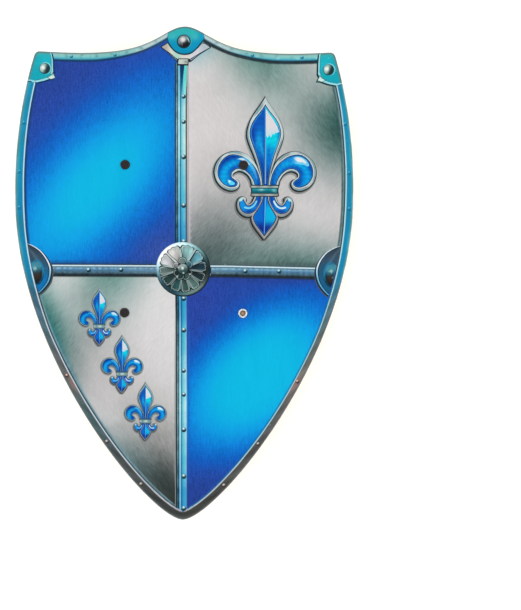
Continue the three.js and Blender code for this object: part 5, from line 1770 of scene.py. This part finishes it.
def rivet(name, x0, y0, mat, seed, dark):
    """Tubular rivet: domed ring head with a recess under the strap, rolled set end on the print."""
    rng = np.random.default_rng(seed)
    N = 56
    # (r, z, patina when dark, patina when bright)
    back = BACK_Z
    prof = [
        (0.0, 26.45, 0.10, 0.10), (0.7, 26.42, 0.10, 0.10), (1.30, 26.36, 0.12, 0.12), (1.62, 26.20, 0.16, 0.16), (1.80, 25.86, 0.06, 0.06),
        (2.05, 25.50, 0, 0), (2.45, 25.26, 0, 0), (2.95, 25.13, 0, 0), (3.45, 25.15, 0, 0), (3.95, 25.34, 0, 0), (4.38, 25.70, 0, 0),
        (4.68, 26.18, 0, 0), (4.80, 26.66, 0, 0), (4.78, 27.02, 0, 0), (4.62, 27.26, 0.1, 0.1), (4.2, 27.34, 0.2, 0.2), (2.4, 27.36, 0.2, 0.2),
        (2.3, 27.6, 0.2, 0.2), (2.3, 36.0, 0.2, 0.2), (2.4, 36.06, 0.9, 0.3), (4.02, 36.04, 0.9, 0.2), (4.24, 36.12, 1.0, 0.05), (4.30, 36.36, 1.0, 0.0),
        (4.20, 36.66, 1.0, 0.0), (3.92, 36.98, 1.0, 0.0), (3.50, 37.22, 1.0, 0.0), (3.05, 37.36, 1.0, 0.0), (2.68, 37.36, 1.0, 0.05), (2.40, 37.22, 1.0, 0.35),
        (2.20, 36.94, 1.0, 0.85), (2.05, 36.62, 1.0, 0.95), (1.85, 36.44, 1.0, 0.80), (1.30, 36.56, 0.92, 0.5), (0.7, 36.66, 0.88, 0.42), (0.0, 36.70, 0.88, 0.40)]
    ph = rng.uniform(0, 2 * pi, 6)
    verts, pat, faces = [], [], []
    cracks = np.sort(rng.uniform(0, 2 * pi, 5))
    for k, (r, z, pd, pb) in enumerate(prof):
        if r == 0.0:
            verts.append((x0 * MM, y0 * MM, z * MM))
            pat.append(pd if dark else pb)
            continue
        for i in range(N):
            t = 2 * pi * i / N
            rr, zz = r, z
            if z > 36.2 and r > 1.9:
                wob = 0.05 * np.sin(3 * t + ph[0]) + 0.04 * np.sin(5 * t + ph[1])
                rr = min(r * (1 + wob * (0.5 if dark else 0.2)), 4.32)
                for c in cracks:
                    dlt = abs((t - c + pi) % (2 * pi) - pi)
                    zz -= (0.20 if dark else 0.08) * np.exp(-(dlt / 0.10) ** 2) * (r > 2.3)
                if dark:
                    zz -= 0.12 * max(0, np.sin(t + ph[2])) * (r > 3.0)
            if z < 27 and r < 2.0:
                zz += 0.03 * np.sin(4 * t + ph[3])
            verts.append(((x0 + rr * np.cos(t)) * MM, (y0 + rr * np.sin(t)) * MM, zz * MM))
            pat.append(pd if dark else pb)
    rows, i = [], 0
    for r, *_ in prof:
        rows.append((i, 1 if r == 0.0 else N))
        i += rows[-1][1]
    for (a, na), (b, nb) in zip(rows[:-1], rows[1:]):
        for q in range(N):
            w = (q + 1) % N
            if na == 1:
                faces.append((a, b + w, b + q))
            elif nb == 1:
                faces.append((a + q, a + w, b))
            else:
                faces.append((a + q, a + w, b + w, b + q))
    ob = mesh_object(name, verts, faces)
    at = ob.data.attributes.new("patina", "FLOAT", "POINT")
    at.data.foreach_set("value", np.array(pat, np.float32))
    ob.data.materials.append(mat)
    return ob


# ================================================================== build

ink_mat, ply_mat, leather_mat, steel_mat = print_material(), ply_material(), leather_material(), rivet_material()

face, outer = printed_face(ink_mat)
core = ply_core(ply_mat, outer)
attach(face, "root")
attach(core, "root")
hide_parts("board")

for side, x0, seed in (("left", -RIVET_X, 3), ("right", RIVET_X, 8)):
    ob = strap("leather_strap_" + side, x0, leather_mat, seed)
    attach(ob, "root")
    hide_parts("strap_" + side)
for node, x0, y0, seed, dark in (("rivet_lower_left", -RIVET_X, LOW_Y, 11, True), ("rivet_upper_left", -RIVET_X, HIGH_Y, 12, True),
                                 ("rivet_lower_right", RIVET_X, LOW_Y, 13, False), ("rivet_upper_right", RIVET_X, HIGH_Y, 14, True)):
    ob = rivet("tubular_" + node, x0, y0, steel_mat, seed, dark)
    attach(ob, "root")
    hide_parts(node)

# ================================================================== stage, light, camera

floor = mesh_object("floor", [(-6, -6, 0), (6, -6, 0), (6, 6, 0), (-6, 6, 0)], [(0, 1, 2, 3)], smooth=False)
fm = Nodes("floor_paper")
fm.bsdf.inputs["Base Color"].default_value = (0.93, 0.93, 0.93, 1)
fm.bsdf.inputs["Roughness"].default_value = 0.9
fm.bsdf.inputs["Specular IOR Level"].default_value = 0.0
fm.bsdf.inputs["Emission Color"].default_value = (1, 1, 1, 1)
# painted light: the floor glows by itself although it is no lamp. The glow is weak near the shield, which also thins
# the shadow there, and stronger towards the horizon, so the sweep stays as pale at the horizon as it is here
far = fm.node("ShaderNodeVectorMath", operation="LENGTH")
fm.link(fm.obj(), far.inputs[0])
fm.link(fm.range(far.outputs["Value"], 0.8, 3.4, 0.14, 0.72), fm.bsdf.inputs["Emission Strength"])
floor.data.materials.append(fm.mat)

scene = bpy.context.scene
world = bpy.data.worlds.new("studio")
world.use_nodes = True
wt = world.node_tree
wc = wt.nodes.new("ShaderNodeTexCoord")
ws = wt.nodes.new("ShaderNodeSeparateXYZ")
wr = wt.nodes.new("ShaderNodeValToRGB")
wt.links.new(wc.outputs["Generated"], ws.inputs[0])
wt.links.new(ws.outputs[2], wr.inputs[0])
for e, (p, c) in zip(wr.color_ramp.elements, ((0.0, 0.92), (0.75, 0.10))):
    e.position, e.color = p, (c, c, c, 1)
wt.links.new(wr.outputs[0], wt.nodes["Background"].inputs["Color"])
wt.nodes["Background"].inputs["Strength"].default_value = 1.0
scene.world = world


def softbox(name, azimuth, elevation, distance, size, power):
    a, e = np.radians(azimuth), np.radians(elevation)
    d = bpy.data.lights.new(name, "AREA")
    d.shape, d.size, d.energy = "SQUARE", size, power
    ob = bpy.data.objects.new(name, d)
    p = Vector((distance * cos(e) * cos(a), distance * cos(e) * sin(a), distance * sin(e)))
    ob.location = p
    ob.rotation_euler = (-p).to_track_quat("-Z", "Y").to_euler()
    scene.collection.objects.link(ob)


softbox("key", 128, 50, 2.4, 1.9, 25)
softbox("fill_left", 200, 46, 2.4, 1.9, 19)
softbox("fill_front", 272, 46, 2.4, 1.9, 21)
softbox("fill_right", 344, 46, 2.4, 1.9, 21)
softbox("back", 56, 46, 2.4, 1.9, 19)

cam = bpy.data.cameras.new("camera")
cam.sensor_fit = "HORIZONTAL"
cam.sensor_width = 36.0
HEIGHT_ABOVE = 2.6
cam.lens = 36.0 * HEIGHT_ABOVE / (521 * 0.8876 * MM)
cam.clip_start, cam.clip_end = 0.05, 50.0
co = bpy.data.objects.new("camera", cam)
co.location = (0.06816, -0.0280, FRONT_Z * MM + HEIGHT_ABOVE)
co.rotation_euler = (0.0, 0.0, 0.0045)
scene.collection.objects.link(co)
scene.camera = co
scene.view_settings.view_transform = "Standard"
scene.view_settings.look = "None"
scene.view_settings.exposure = 0.0
scene.view_settings.gamma = 1.0
